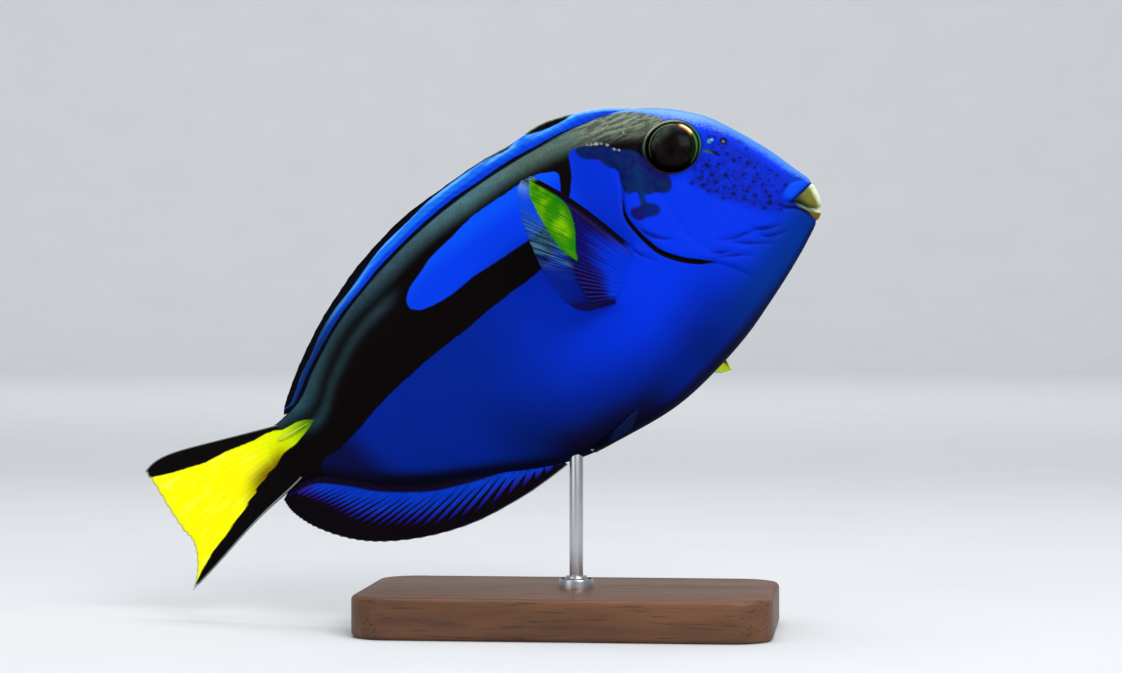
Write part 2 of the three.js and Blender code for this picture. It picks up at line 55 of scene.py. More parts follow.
# %% [markdown]
# The fish was drawn straight, with its nose at the origin. Every point of it is given by three numbers:
# how far back from the nose, how far to its left, and how far up. The same profile lines as the solids
# use give its shape, so the new skin lies where the solids are.

# %% The lines of the body
BACK_LINE = [
    (-1.7, 3.2), (-1.5, 5.4), (-1.1, 7.8), (0, 10.3), (1.6, 13.5), (4.8, 20), (8.5, 26.2), (12.4, 32),
    (16.4, 37.4), (21, 41.7), (28.2, 46.8), (38.5, 51.4), (51.5, 53.4), (64, 53.5), (77.3, 52.8),
    (91.5, 51.1), (106.2, 48.1), (121.9, 43.2), (130, 39.7), (138, 36.2), (145, 32.4), (151, 28.3),
    (156.5, 24.4), (160.5, 20.9), (164, 18.9), (168.8, 17.4), (171.5, 16.7), (175, 16.3), (179, 16),
]
BELLY_LINE = [
    (-1.7, 3.2), (-1.2, 1.2), (0, -1.6), (2.1, -3.8), (7.4, -8), (15.3, -13.3), (24.2, -18.6),
    (33.4, -23.7), (46, -29), (61.2, -33.5), (78.1, -34.9), (94.4, -34.5), (105, -32.2), (117, -28),
    (130, -23.4), (142, -18.6), (151.4, -13.8), (158, -9.6), (163, -5.8), (168, -3.4), (174, -2.8),
    (179, -3.4),
]
HALF_WIDTH = [
    (-1.7, 0), (-1.2, 1.6), (0, 2.9), (3, 4.4), (8, 6.2), (15, 8.2), (24, 10.3), (34, 12.2), (44, 13.4),
    (56, 14.1), (70, 14), (85, 13), (100, 11.4), (115, 9.5), (130, 7.5), (145, 5.6), (158, 4.2),
    (168, 3.5), (174, 2.6), (177, 1.6), (179, 0.7),
]
WIDEST_HEIGHT = 0.53
FLANK_POWER = 1.12
NOSE = -1.7
STALK_END = 179


def through(points):
    """A smooth curve through a few points, as a function for whole arrays of numbers."""
    xs, ys = np.array(points, float).T
    rise = np.diff(ys) / np.diff(xs)
    gap = np.diff(xs)
    inner = (rise[:-1] * gap[1:] + rise[1:] * gap[:-1]) / (gap[1:] + gap[:-1])
    slopes = np.concatenate([rise[:1], inner, rise[-1:]])

    def curve(value):
        x = np.clip(value, xs[0], xs[-1])
        i = np.clip(np.searchsorted(xs, x) - 1, 0, len(gap) - 1)
        t = (x - xs[i]) / gap[i]
        start = (1 + 2 * t) * (1 - t) ** 2 * ys[i] + t * (1 - t) ** 2 * gap[i] * slopes[i]
        end = t * t * (3 - 2 * t) * ys[i + 1] + t * t * (t - 1) * gap[i] * slopes[i + 1]
        return start + end

    return curve


back_at = through(BACK_LINE)
belly_at = through(BELLY_LINE)
half_width_at = through(HALF_WIDTH)


def middle_at(back):
    """The height at which the body is widest."""
    return belly_at(back) + WIDEST_HEIGHT * (back_at(back) - belly_at(back))


def height_share(back, up):
    """1 on the back, 0 at the widest height and -1 on the belly."""
    middle = middle_at(back)
    reach = np.where(up > middle, back_at(back) - middle, middle - belly_at(back))
    return np.clip((up - middle) / np.maximum(reach, 0.01), -1, 1)


def flank_at(back, up):
    """How far the flank stands out from the middle at a height."""
    share = height_share(back, up)
    return half_width_at(back) * (1 - share * share) ** (FLANK_POWER / 2)


# %% [markdown]
# The straight fish is then posed: its tail swings to its left along an arc, its nose lifts, and it banks.
# The place of the nose is found from the stand's rod, which the frame holds.

# %% From the straight fish to the posed one
NOSE_HEIGHT = 123
NOSE_UP = math.radians(27)
BANK = math.radians(8)
TAIL_BEND = math.radians(10)
BEND_START = 100
BEND_END = 176
ROD_BACK = 95.5
ROD_RADIUS = 2

turned = Matrix.Rotation(-NOSE_UP, 3, "Y") @ Matrix.Rotation(-BANK, 3, "X")
rod_low, rod_high = (Vector(corner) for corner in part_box("stand_rod"))
rod_foot = turned @ Vector((-ROD_BACK, 0, float(belly_at(ROD_BACK))))
nose = (rod_low + rod_high) / 2 - rod_foot * MM
nose.z = NOSE_HEIGHT * MM


def posed(back, left, up):
    """Points of the straight fish, in millimetres, as posed points in metres."""
    radius = (BEND_END - BEND_START) / TAIL_BEND
    angle = np.clip(back - BEND_START, 0, BEND_END - BEND_START) / radius
    beyond = np.maximum(back - BEND_END, 0)
    along = np.minimum(back, BEND_START) + radius * np.sin(angle) + beyond * np.cos(angle)
    aside = radius * (1 - np.cos(angle)) + beyond * np.sin(angle)
    straight = np.stack([-(along - np.sin(angle) * left), aside + np.cos(angle) * left, up + 0 * left], -1)
    return straight @ np.array(turned).T * MM + np.array(nose)


print("the nose is at", [round(value, 4) for value in nose])

# %% [markdown]
# The camera is set before any piece is made, because a patch on the pectoral fins is found through it, in
# pixels. A long lens looks at the fish's right side from a little in front of it, almost level.

# %% Camera
PHOTO_WIDTH = 1122
PHOTO_HEIGHT = 673
LENS = 100
SENSOR = 36
CAMERA_DISTANCE = 0.9
CAMERA_SIDE = math.radians(6)
CAMERA_RISE = math.radians(1)
NOSE_PIXEL = (818, 205)

backward = Vector((
    math.sin(CAMERA_SIDE) * math.cos(CAMERA_RISE),
    -math.cos(CAMERA_SIDE) * math.cos(CAMERA_RISE),
    math.sin(CAMERA_RISE),
))
rightward = Vector((math.cos(CAMERA_SIDE), math.sin(CAMERA_SIDE), 0))
upward = backward.cross(rightward)
pixel = CAMERA_DISTANCE * SENSOR / LENS / PHOTO_WIDTH
aside = (NOSE_PIXEL[0] - PHOTO_WIDTH / 2) * pixel
above = (PHOTO_HEIGHT / 2 - NOSE_PIXEL[1]) * pixel
place = nose + backward * CAMERA_DISTANCE - rightward * aside - upward * above

bpy.ops.object.camera_add(location=place)
camera = bpy.context.object
camera.name = "camera"
camera.rotation_euler = Matrix((rightward, upward, backward)).transposed().to_euler()
camera.data.lens = LENS
camera.data.sensor_width = SENSOR
camera.data.sensor_fit = "HORIZONTAL"
bpy.context.scene.camera = camera
print("camera height above the floor:", round(place.z, 3))

# %% [markdown]
# A marking has a crisp edge that a mesh of reasonable size can't follow with its faces. So each point of
# the skin is given its distance from the marking's outline, less than zero inside. Between points that
# distance runs evenly, and the material turns it into an edge finer than any face.

# %% Outlines and distances from them


def spline(points, share):
    """Points along a smooth curve through the given ones, share running from 0 to 1."""
    points = np.array(points, float)
    last = len(points) - 1
    place = np.clip(share, 0, 1) * last
    i = np.minimum(place.astype(int), last - 1)
    t = (place - i)[..., None]
    before, start, end, after = (points[np.clip(i + step, 0, last)] for step in (-1, 0, 1, 2))
    out, into = (end - before) / 2, (after - start) / 2
    cube = 2 * start - 2 * end + out + into
    square = 3 * end - 3 * start - 2 * out - into
    return cube * t**3 + square * t**2 + out * t + start


def smooth_line(points, pieces=5):
    """The same line with each stretch cut into short curved pieces."""
    return spline(points, np.linspace(0, 1, pieces * (len(points) - 1) + 1))


def smooth_outline(points, pieces=4):
    """A closed outline, rounded."""
    around = [points[-1], *points, points[0], points[1]]
    count = len(around) - 1
    share = np.linspace(1 / count, 1 - 1 / count, pieces * len(points) + 1)[:-1]
    return spline(around, share)


def to_line(x, y, line, widths=(0, 0)):
    """Distance from a line that may swell: widths are its half widths, spread evenly along it."""
    line = np.array(line, float)
    count = len(line) - 1
    best = np.full(np.shape(x), 1e9)
    for i, (start, end) in enumerate(zip(line[:-1], line[1:])):
        step = end - start
        t = np.clip(((x - start[0]) * step[0] + (y - start[1]) * step[1]) / max(step @ step, 1e-9), 0, 1)
        half = np.interp((i + t) / count, np.linspace(0, 1, len(widths)), widths)
        best = np.minimum(best, np.hypot(x - start[0] - t * step[0], y - start[1] - t * step[1]) - half)
    return best


def to_outline(x, y, outline):
    """Distance from a closed outline, less than zero inside it."""
    outline = np.array(outline, float)
    inside = np.zeros(np.shape(x), bool)
    for (ax, ay), (bx, by) in zip(outline, np.roll(outline, -1, 0)):
        if ay != by:
            inside ^= ((ay > y) != (by > y)) & (x < (bx - ax) * (y - ay) / (by - ay) + ax)
    distance = to_line(x, y, np.vstack([outline, outline[:1]]))
    return np.where(inside, -distance, distance)


def to_curve(x, y, line, widths=(0, 0)):
    return to_line(x, y, smooth_line(line), widths)


def to_round_outline(x, y, outline):
    return to_outline(x, y, smooth_outline(outline))


def to_spots(x, y, spots):
    """Distance from the nearest of some round spots, less than zero inside it."""
    return np.min([np.hypot(x - across, y - high) - radius for across, high, radius in spots], axis=0)


def bell(distance, width):
    """1 at no distance, falling smoothly to nothing."""
    return np.exp(-((distance / width) ** 2))


def ramp(value, low, high):
    """0 below low and 1 above high, with a smooth rise between."""
    t = np.clip((value - low) / (high - low), 0, 1)
    return t * t * (3 - 2 * t)


# %% [markdown]
# The markings of a regal blue tang: a black palette with a blue oval in it, a yellow wedge on the tail,
# and dark marks behind and below the eye. The lines of the mouth, lips and gill slit are here too,
# because they shape the skin as well as colour it.

# %% The markings, back from the nose and up
PALETTE = [
    (28.5, 40.5), (28.8, 42.5), (30.6, 44.6), (32, 46), (36.4, 49.2), (40.2, 51.1), (45.7, 53.5),
    (52, 57), (60, 62), (100, 58), (150, 38), (170, 24), (200, 24), (200, -12), (168, -12), (164.5, -1.4),
    (156.5, 0.2), (148, 2.5), (139, 5.8), (127.5, 8.7), (116.3, 11), (106.7, 12.5), (98.6, 14.3),
    (88, 16.1), (77.5, 18.3), (69.8, 24.2), (64.8, 29.9), (61.6, 34.6), (59.1, 39.4), (58.2, 43),
    (57.6, 45.2), (56.4, 46.2), (54.5, 46), (51.1, 44.5), (47.4, 42.4), (44.4, 40.4), (42.4, 38.6),
    (40.2, 37.1), (39.1, 35.2), (38, 32.6), (37, 29.5), (35.6, 26.6), (33, 25.4), (29, 28), (27, 33),
    (27.6, 38),
]
OVAL = [
    (62.8, 41.6), (66, 43.6), (70.4, 44.5), (77.1, 43.8), (84.1, 43.1), (91.5, 42.2), (99.5, 39.5),
    (107.2, 37), (112, 34.4), (116.4, 32), (118.9, 29), (118.7, 26.2), (115.4, 24.2), (108, 23.7),
    (100.3, 25), (93.4, 25.9), (86.3, 26.4), (77.9, 27.4), (72.5, 28.8), (67.6, 31), (64.4, 35.6),
]
# How far below the ridge the grey-green of the back reaches: partly the skin's own colour, partly painted
# sheen.
OLIVE_BACK = [
    (25, 4), (30, 10), (34, 11), (41, 11), (50, 9.8), (60, 8.6), (75, 7.8), (90, 7.9), (105, 7.1),
    (120, 7), (135, 5.3), (148, 5.2), (158, 6.5), (165, 5), (175, 2.5),
]
# How wide the painted highlight along the crown of the head is, back from the nose.
CROWN_HIGHLIGHT_WIDTH = [
    (-1.7, 1), (0, 1.4), (3, 2.3), (8, 2.7), (13, 2.7), (17, 3.4), (22, 4.2), (28, 4.2), (34, 2.6),
    (41, 0.8),
]
PALE_FLECKS = [
    (51.6, 45.4, 0.25), (50.4, 44.9, 0.3), (49, 44.3, 0.45), (47.7, 43.6, 0.3), (46.3, 42.3, 0.35),
    (45, 40.2, 0.3), (43.9, 39.2, 0.2), (40.6, 43.7, 0.2),
]
YELLOW_WEDGE = [
    (160, 11.4), (162.4, 12.6), (165.3, 13.4), (168.6, 13.4), (171, 13.5), (173.4, 14.7), (177.4, 15.3),
    (181, 15.2), (184.5, 15.7), (191.5, 16.5), (198.1, 16.6), (203.2, 17.6), (208.8, 18.7), (216.3, 20.7),
    (222, 22), (228, 0), (222, -17), (216.6, -13.3), (214.4, -11.8), (208.3, -8.1), (202.8, -5.7),
    (197.4, -3.3), (193.3, -1.5), (190.6, 0.1), (188.3, 1), (185.9, 2.8), (183.2, 3.6), (180.9, 4.5),
    (178.4, 5), (173.6, 7.2), (170.4, 7.6), (168.1, 7.8), (166.2, 8.5), (164.2, 9.2), (161.4, 10.6),
]
FACE_PATCH = [
    (55.2, 45.6), (55.1, 43.2), (53.9, 41.4), (51.8, 40.3), (50.1, 39), (49.6, 37.4), (48.7, 35.7),
    (47.2, 34.2), (46.8, 32.5), (47.3, 30.4), (47.6, 28.5), (47.5, 26.6), (46.4, 25.4), (44.9, 25.3),
    (42.2, 23.1), (39.9, 22.6), (37.4, 21.3), (35.9, 21.2), (34.7, 22.2), (34.1, 24.9), (35, 26.6),
    (37, 29.5), (38, 33.5), (39.5, 37.5), (43, 41.5), (48, 44.5), (52, 46.4),
]
FACE_STALK = [(43.2, 25.6), (43.7, 23), (44.4, 20.3)]
FACE_BLOB = [
    (48.5, 20.7), (47.4, 21.3), (45.7, 20.9), (43.2, 21), (41.3, 19.7), (40.5, 18), (41.3, 16.7),
    (42.8, 16.4), (45.1, 17), (47, 17), (48.4, 18.1), (48.8, 19.4),
]
TEAL_STREAK = [(41.6, 31.5), (42.4, 28), (43.2, 24), (44.4, 20.3)]
SNOUT_GROUND = [
    (24.6, 28.5), (29, 22.5), (28.6, 19), (25.6, 14.6), (20.5, 9.6), (14.6, 4.2), (10, 1.8), (6.5, 5),
    (4.5, 9.5), (8, 17), (12, 24), (17, 31), (21, 33),
]
SNOUT_SPOTS = [
    (23.1, 23.4, 0.75), (20.1, 22.2, 0.6), (26.4, 20.8, 0.8), (23, 20.2, 0.75), (19.6, 18.4, 0.75),
    (15, 16.5, 0.6), (11.4, 14.8, 0.5), (26.7, 18.4, 0.7), (29.3, 20.4, 0.6), (22.9, 17.7, 0.75),
    (21.5, 15.1, 0.6), (18.7, 14.5, 0.55), (23.8, 15.2, 0.55), (26.1, 16.3, 0.5), (20, 12.4, 0.6),
    (17.8, 10.1, 0.65), (14.6, 9.4, 0.65), (12, 5.8, 0.7), (14, 5.1, 0.6), (10.2, 2.8, 0.55),
    (13.3, 13.3, 0.5), (11.5, 11.5, 0.45), (15.7, 21.4, 0.7), (13.7, 21.3, 0.55), (12.5, 19, 0.65),
    (11, 17.1, 0.55), (11.1, 23.3, 0.6), (11.8, 26.5, 0.6), (13.8, 30.1, 0.5), (16.6, 31.9, 0.5),
    (16.6, 24.2, 0.65), (7.8, 14.4, 0.4), (6.5, 12, 0.5), (5.8, 8.5, 0.55), (11.1, 7.4, 0.55),
    (16.3, 11.4, 0.4), (23.1, 12.5, 0.4), (21.5, 11.9, 0.4), (19, 9.6, 0.4), (25.2, 22.3, 0.5),
    (11.4, 9.1, 0.5), (8.8, 7.9, 0.4),
]
EYE_DASH = [(22.2, 28), (20.6, 27.1), (19.7, 25.9), (18.8, 24.6)]
NOSTRIL_CRESCENT = [(18, 30.5), (19.3, 30.3), (19.8, 29.8), (19.2, 29.2)]
GILL_SLIT = [
    (46.4, 38), (46.3, 34), (47.4, 29), (49.6, 23.5), (50.4, 20), (49.8, 16), (48.4, 11.4), (46.1, 6.4),
    (41.9, 2), (37.3, -1.1), (33, -3.4), (27.9, -8.4), (23.8, -15), (21.5, -22),
]
CHEEK_FOLD = [(41.6, 31), (39.2, 24), (37.8, 14), (36, 5), (31, 0)]
GILL_SLIT_DARK = (-2, -0.9, -0.08, 0.3, 0.5, 0.6, 0.65, 0.75, 0.8, 0.75, 0.1, -2, -2, -2)
CHEEK_CREASES = [
    ([(48.6, 15.7), (47.1, 12.9), (44.7, 10.3), (41.7, 8.4)], 0.7),
    ([(54.9, 14.5), (52.5, 10.1), (50.6, 7.1), (49, 5.6)], 0.3),
    ([(29.8, 2.2), (25.5, 1), (21.3, 0.7), (18, 0.3)], 0.4),
    ([(19.6, 1.3), (16.4, -0.3), (12.2, -1.1)], 0.6),
    ([(26.7, 0.2), (22.7, -2), (16.9, -4.7)], 0.4),
    ([(33.5, 0.1), (30.9, -1.1), (27.5, -2.2)], 0.45),
    ([(31.5, -2.3), (27.8, -3.5), (23.6, -5.2)], 0.45),
    ([(18.2, -1.6), (16, -2.8), (11.3, -3.5)], 0.45),
]
MOUTH_LINE = [(-3, -2.2), (0.3, -1.3), (1.2, -0.8), (2.6, 0.3), (3.8, 1.8), (5.2, 3), (6.6, 3.4)]
UPPER_LIP = [(-4, 7.6), (-0.8, 6), (1.7, 4.8), (4.2, 4), (5.6, 3.5), *MOUTH_LINE[5:0:-1], (-4, -2.2)]
LOWER_LIP = [
    (-4, -2.2), *MOUTH_LINE[1:6], (7, 3.6), (9, 3.6), (8.5, 2.9), (6.3, 2), (4.6, 0.6), (3.6, -0.9),
    (2.8, -2.7), (2.2, -4), (-1, -6),
]
LIP_FOLD = [
    (-0.9, 6.6), (0.6, 7.8), (2.4, 8.3), (4.7, 8.2), (6.8, 6.9), (7.6, 5.7), (6.7, 4.7), (5.4, 4.4),
    (2.6, 5.3), (0.2, 6),
]
UNDER_LIP = [(9.8, 3.7), (8.1, 2.5), (6.2, 1.6), (4.5, 0.2), (3.4, -1.4), (2.7, -3.4)]
EYE_BACK = 29.8
EYE_UP = 32.9
EYE_RADIUS = 7.5
EYE_DEPTH = 4.4
EYE_BULGE = 1.9
NOSTRILS = [(18.5, 30.2, 0.8), (15.9, 28.2, 0.55)]
TAIL_SPINE = {"back": 167.6, "up": 11.4, "length": 11.5, "height": 2.1, "width": 1.9, "lean": -0.09}
PECTORAL_BASE = [(52.3, 9.6), (62.6, -1)]

# %% [markdown]
# A sheet of skin or fin starts as a plain grid. Each point of the grid has a place across and a place
# along, from 0 to 1, and a formula sends it to its place on the fish. That keeps the faces in even rows
# that follow the form, which a sculpted or remeshed surface doesn't.

# %% Grids and attributes
def added(name):
    """The piece that was added last, under its name."""
    piece = bpy.context.object
    piece.name = name
    piece.data.name = name
    return piece


def points_of(piece):
    """The places of a piece's points, a row for each."""
    places = np.empty(len(piece.data.vertices) * 3, np.float32)
    piece.data.vertices.foreach_get("co", places)
    return places.reshape(-1, 3).astype(float)


def start_grid(name, across, along):
    """A grid of that many faces each way, and the place of each of its points across and along."""
    bpy.ops.mesh.primitive_grid_add(x_subdivisions=across, y_subdivisions=along, size=1)
    piece = added(name)
    places = points_of(piece) + 0.5
    return piece, places[:, 0], places[:, 1]


def start_ball(name, segments, rings):
    """A ball of radius 1, and the three numbers of each of its points."""
    bpy.ops.mesh.primitive_uv_sphere_add(segments=segments, ring_count=rings, radius=1)
    piece = added(name)
    return piece, *points_of(piece).T


def move_points(piece, points):
    piece.data.vertices.foreach_set("co", np.ascontiguousarray(points, np.float32).ravel())
    piece.data.update()


def keep_numbers(piece, numbers):
    """Stores named numbers at the points of a piece, for its material to read."""
    for name, values in numbers.items():
        layer = piece.data.attributes.new(name, "FLOAT", "POINT")
        layer.data.foreach_set("value", np.ascontiguousarray(values, np.float32).ravel())


def edit(piece, mode="VERT"):
    """Opens a piece in edit mode with nothing selected."""
    bpy.ops.object.select_all(action="DESELECT")
    piece.select_set(True)
    bpy.context.view_layer.objects.active = piece
    bpy.ops.object.mode_set(mode="EDIT")
    bpy.ops.mesh.select_mode(type=mode)
    bpy.ops.mesh.select_all(action="DESELECT")


def close(piece, inside=False):
    """Turns all faces outwards, or inwards, and leaves edit mode with the piece shaded smooth."""
    bpy.ops.mesh.select_all(action="SELECT")
    bpy.ops.mesh.normals_make_consistent(inside=inside)
    bpy.ops.object.mode_set(mode="OBJECT")
    bpy.ops.object.shade_smooth()
    print(piece.name, "has", len(piece.data.polygons), "faces")


def belongs(piece, slot, *nodes):
    """The piece rides on the model and stands for those nodes, which it hides; slot is not used."""
    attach(piece, "root")
    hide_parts(*nodes)

# %% [markdown]
# The skin is one closed tube of rings. The rings stand close together on the head, where the detail is,
# and the points of a ring crowd on the flanks. The lips, mouth, nostrils, eye sockets, gill covers and
# creases are then raised or sunk along the surface's own normal.

# %% The skin of the body
SKIN_SIDES = 336
SKIN_RINGS = 282
FLANK_CROWDING = 0.2
RING_PLACES = through([(0, NOSE), (0.02, -1.25), (0.06, 0.6), (0.6, 56), (0.72, 72), (1, STALK_END)])
FLESH = ("head", "upper_lip", "lower_lip", "gill_cover_right", "gill_cover_left", "trunk", "tail_stalk")
GROOVES = [
    (MOUTH_LINE, 0.9, 0.42), (UNDER_LIP, 0.4, 0.5), (CHEEK_FOLD, 0.1, 0.9), (EYE_DASH, 0.25, 0.5),
    *((line, 0.36, 0.6) for line, half in CHEEK_CREASES),
]


def skin_relief(back, up, left):
    """How far the skin stands out from the plain body at each point."""
    from_eye = np.hypot(back - EYE_BACK, up - EYE_UP)
    relief = -3.4 * ramp(EYE_RADIUS + 0.25 - from_eye, 0, 1.2)
    relief += 0.6 * bell(from_eye - EYE_RADIUS - 0.75, 0.65)
    relief -= 0.22 * bell(from_eye - EYE_RADIUS - 2.6, 0.8)
    upper = to_outline(back, up, UPPER_LIP)
    lower = to_outline(back, up, LOWER_LIP)
    fold = to_round_outline(back, up, LIP_FOLD)
    relief += 0.22 * ramp(-upper, -0.2, 0.9) + 0.25 * ramp(-lower, -0.2, 0.8) + 0.4 * ramp(-fold, -0.3, 1)
    relief -= 0.35 * bell(upper - 0.3, 0.35) + 0.3 * bell(lower - 0.35, 0.4)
    for line, depth, width in GROOVES:
        relief -= depth * bell(to_curve(back, up, line), width)
    slit = smooth_line(GILL_SLIT)
    behind = to_line(back, up, slit)
    cover = [*slit, (10, -22), (10, 38)]
    ahead = ramp(-to_outline(back, up, cover), -0.35, 0.35) * ramp(up, -14, -4) * ramp(up, 40, 34)
    relief += 0.6 * ahead * bell(behind, 6)
    relief -= 0.75 * bell(behind - 0.1, 0.5) * ramp(up, -16, -6) * ramp(up, 37, 26)
    for place, height, radius in NOSTRILS:
        away = np.hypot(back - place, up - height)
        relief += 0.25 * bell(away - radius - 0.35, 0.35) - 0.7 * bell(away, radius * 0.8)
    relief += 0.9 * bell(to_line(back, up, PECTORAL_BASE), 2.4)
    spine = TAIL_SPINE
    relief -= 0.5 * bell(np.hypot((back - spine["back"]) / 5.6, (up - spine["up"]) / 1.1), 0.9)
    relief += 0.12 * np.sin(back * 0.21 + 1) * np.sin(up * 0.17 + back * 0.05) * ramp(np.abs(left), 3, 8)
    return relief


def skin_numbers(back, up):
    """Where each point lies, and its distance from every marking."""
    places = np.linspace(NOSE, STALK_END, 240)
    from_ridge = to_line(back, up, np.stack([places, back_at(places)], -1))
    from_keel = to_line(back, up, np.stack([places, belly_at(places)], -1))
    olive = through(OLIVE_BACK)(back)
    # The grey-green tone of the back, with a second band at the rear: partly the skin's own colour, partly
    # painted sheen.
    second = 0.45 * bell(from_ridge - olive - 3.2, 1.7) * ramp(back, 118, 128) * ramp(back, 168, 158)
    palette = np.maximum(to_round_outline(back, up, PALETTE), -to_round_outline(back, up, OVAL))
    stalk = to_line(back, up, FACE_STALK, (1, 0.8, 0.9))
    creases = [to_curve(back, up, line, (0, half, 0)) for line, half in CHEEK_CREASES]
    return {
        "back_mm": back,
        "up_mm": up,
        "from_ridge": from_ridge,
        "from_keel": from_keel,
        "from_eye": np.hypot(back - EYE_BACK, up - EYE_UP),
        "crown": from_ridge / np.maximum(through(CROWN_HIGHLIGHT_WIDTH)(back), 0.05),
        "tone": ramp(olive - from_ridge, -1.2, 5.5) + second,
        "palette_edge": palette,
        "wedge_edge": to_outline(back, up, YELLOW_WEDGE),
        "patch_edge": np.minimum(to_round_outline(back, up, FACE_PATCH), stalk),
        "blob_edge": to_round_outline(back, up, FACE_BLOB),
        "ground_edge": to_round_outline(back, up, SNOUT_GROUND),
        "fold_edge": to_round_outline(back, up, LIP_FOLD),
        "upper_edge": to_outline(back, up, UPPER_LIP),
        "lower_edge": to_outline(back, up, LOWER_LIP),
        "spots_edge": to_spots(back, up, SNOUT_SPOTS),
        "flecks_edge": to_spots(back, up, PALE_FLECKS),
        "nostril_edge": to_spots(back, up, NOSTRILS),
        "teal_edge": to_curve(back, up, TEAL_STREAK),
        "dash_edge": to_curve(back, up, EYE_DASH, (0.3, 0.45, 0.5, 0.3)),
        "crescent_edge": to_curve(back, up, NOSTRIL_CRESCENT, (0.15, 0.4, 0.4, 0.1)),
        "slit_edge": to_curve(back, up, GILL_SLIT, GILL_SLIT_DARK),
        "mouth_edge": to_curve(back, up, MOUTH_LINE, (0, 0, 0.05, 0.12, 0.15, 0.1, 0)),
        "under_edge": to_curve(back, up, UNDER_LIP, (0, 0.2, 0.25, 0.3, 0.3, 0)),
        "crease_edge": np.min(creases, axis=0),
    }


def make_skin():
    piece, around, along = start_grid("skin", SKIN_SIDES, SKIN_RINGS)
    shape = (SKIN_RINGS + 1, SKIN_SIDES + 1)
    turn = (2 * math.pi * around + FLANK_CROWDING * np.sin(4 * math.pi * around)).reshape(shape)
    back = RING_PLACES(along).reshape(shape)
    middle = middle_at(back)
    rise = np.cos(turn)
    side = np.sin(turn)
    up = middle + rise * np.where(rise > 0, back_at(back) - middle, middle - belly_at(back))
    left = np.sign(side) * np.abs(side) ** FLANK_POWER * half_width_at(back)
    surface = np.stack([-back, left, up], -1)
    normal = np.cross(np.gradient(surface, axis=0), np.gradient(surface, axis=1))
    length = np.linalg.norm(normal, axis=-1, keepdims=True)
    normal = np.where(length > 1e-6, normal / np.maximum(length, 1e-9), [1.0, 0, 0])
    normal[:, 0] = normal[:, -1] = (normal[:, 0] + normal[:, -1]) / 2
    outward = np.sign(normal[SKIN_RINGS // 3, SKIN_SIDES // 4, 1])
    relief = skin_relief(back, up, left) * ramp(along.reshape(shape), 0, 0.02)
    surface = surface + normal * outward * relief[..., None]
    move_points(piece, posed(-surface[..., 0], surface[..., 1], surface[..., 2]).reshape(-1, 3))
    keep_numbers(piece, skin_numbers(back, up))

    edit(piece)
    bpy.ops.mesh.select_all(action="SELECT")
    bpy.ops.mesh.remove_doubles(threshold=0.00001)
    bpy.ops.mesh.select_all(action="DESELECT")
    bpy.ops.mesh.select_non_manifold()
    bpy.ops.mesh.edge_face_add()
    close(piece)
    belongs(piece, "skin", *FLESH)
    return piece


skin = make_skin()

# %% [markdown]
# Shader maths reads best as plain sums. A small class holds one output of a node, and its operators add
# the Math nodes. A second class is a whole material, with one method for any node.

# %% Small classes for materials
def paint(red, green, blue):
    """A colour as a screen shows it, 0 to 255, as the shader's own numbers."""
    parts = [part / 255 for part in (red, green, blue)]
    return (*(part / 12.92 if part < 0.04 else ((part + 0.055) / 1.055) ** 2.4 for part in parts), 1)


class Flow:
    """What comes out of one node and can feed another."""

    def __init__(self, finish, socket):
        self.finish = finish
        self.socket = socket

    def __add__(self, other):
        return self.finish.maths("ADD", self, other)

    def __sub__(self, other):
        return self.finish.maths("SUBTRACT", self, other)

    def __rsub__(self, other):
        return self.finish.maths("SUBTRACT", other, self)

    def __mul__(self, other):
        return self.finish.maths("MULTIPLY", self, other)

    __radd__ = __add__
    __rmul__ = __mul__

    def between(self, low, high, start=0.0, end=1.0):
        """start where this is below low, end where it is above high, and a smooth change between."""
        inputs = {"Value": self, 1: low, 2: high, 3: start, 4: end}
        return self.finish.node("ShaderNodeMapRange", {"interpolation_type": "SMOOTHSTEP"}, inputs)

    def inside(self, soft=0.2):
        """1 inside an outline and 0 outside it, where this is the distance from it."""
        return self.between(-soft, soft, 1, 0)

    def lay(self, above, amount):
        """Lays another colour over this one."""
        self.socket = self.finish.mix(self, above, amount).socket


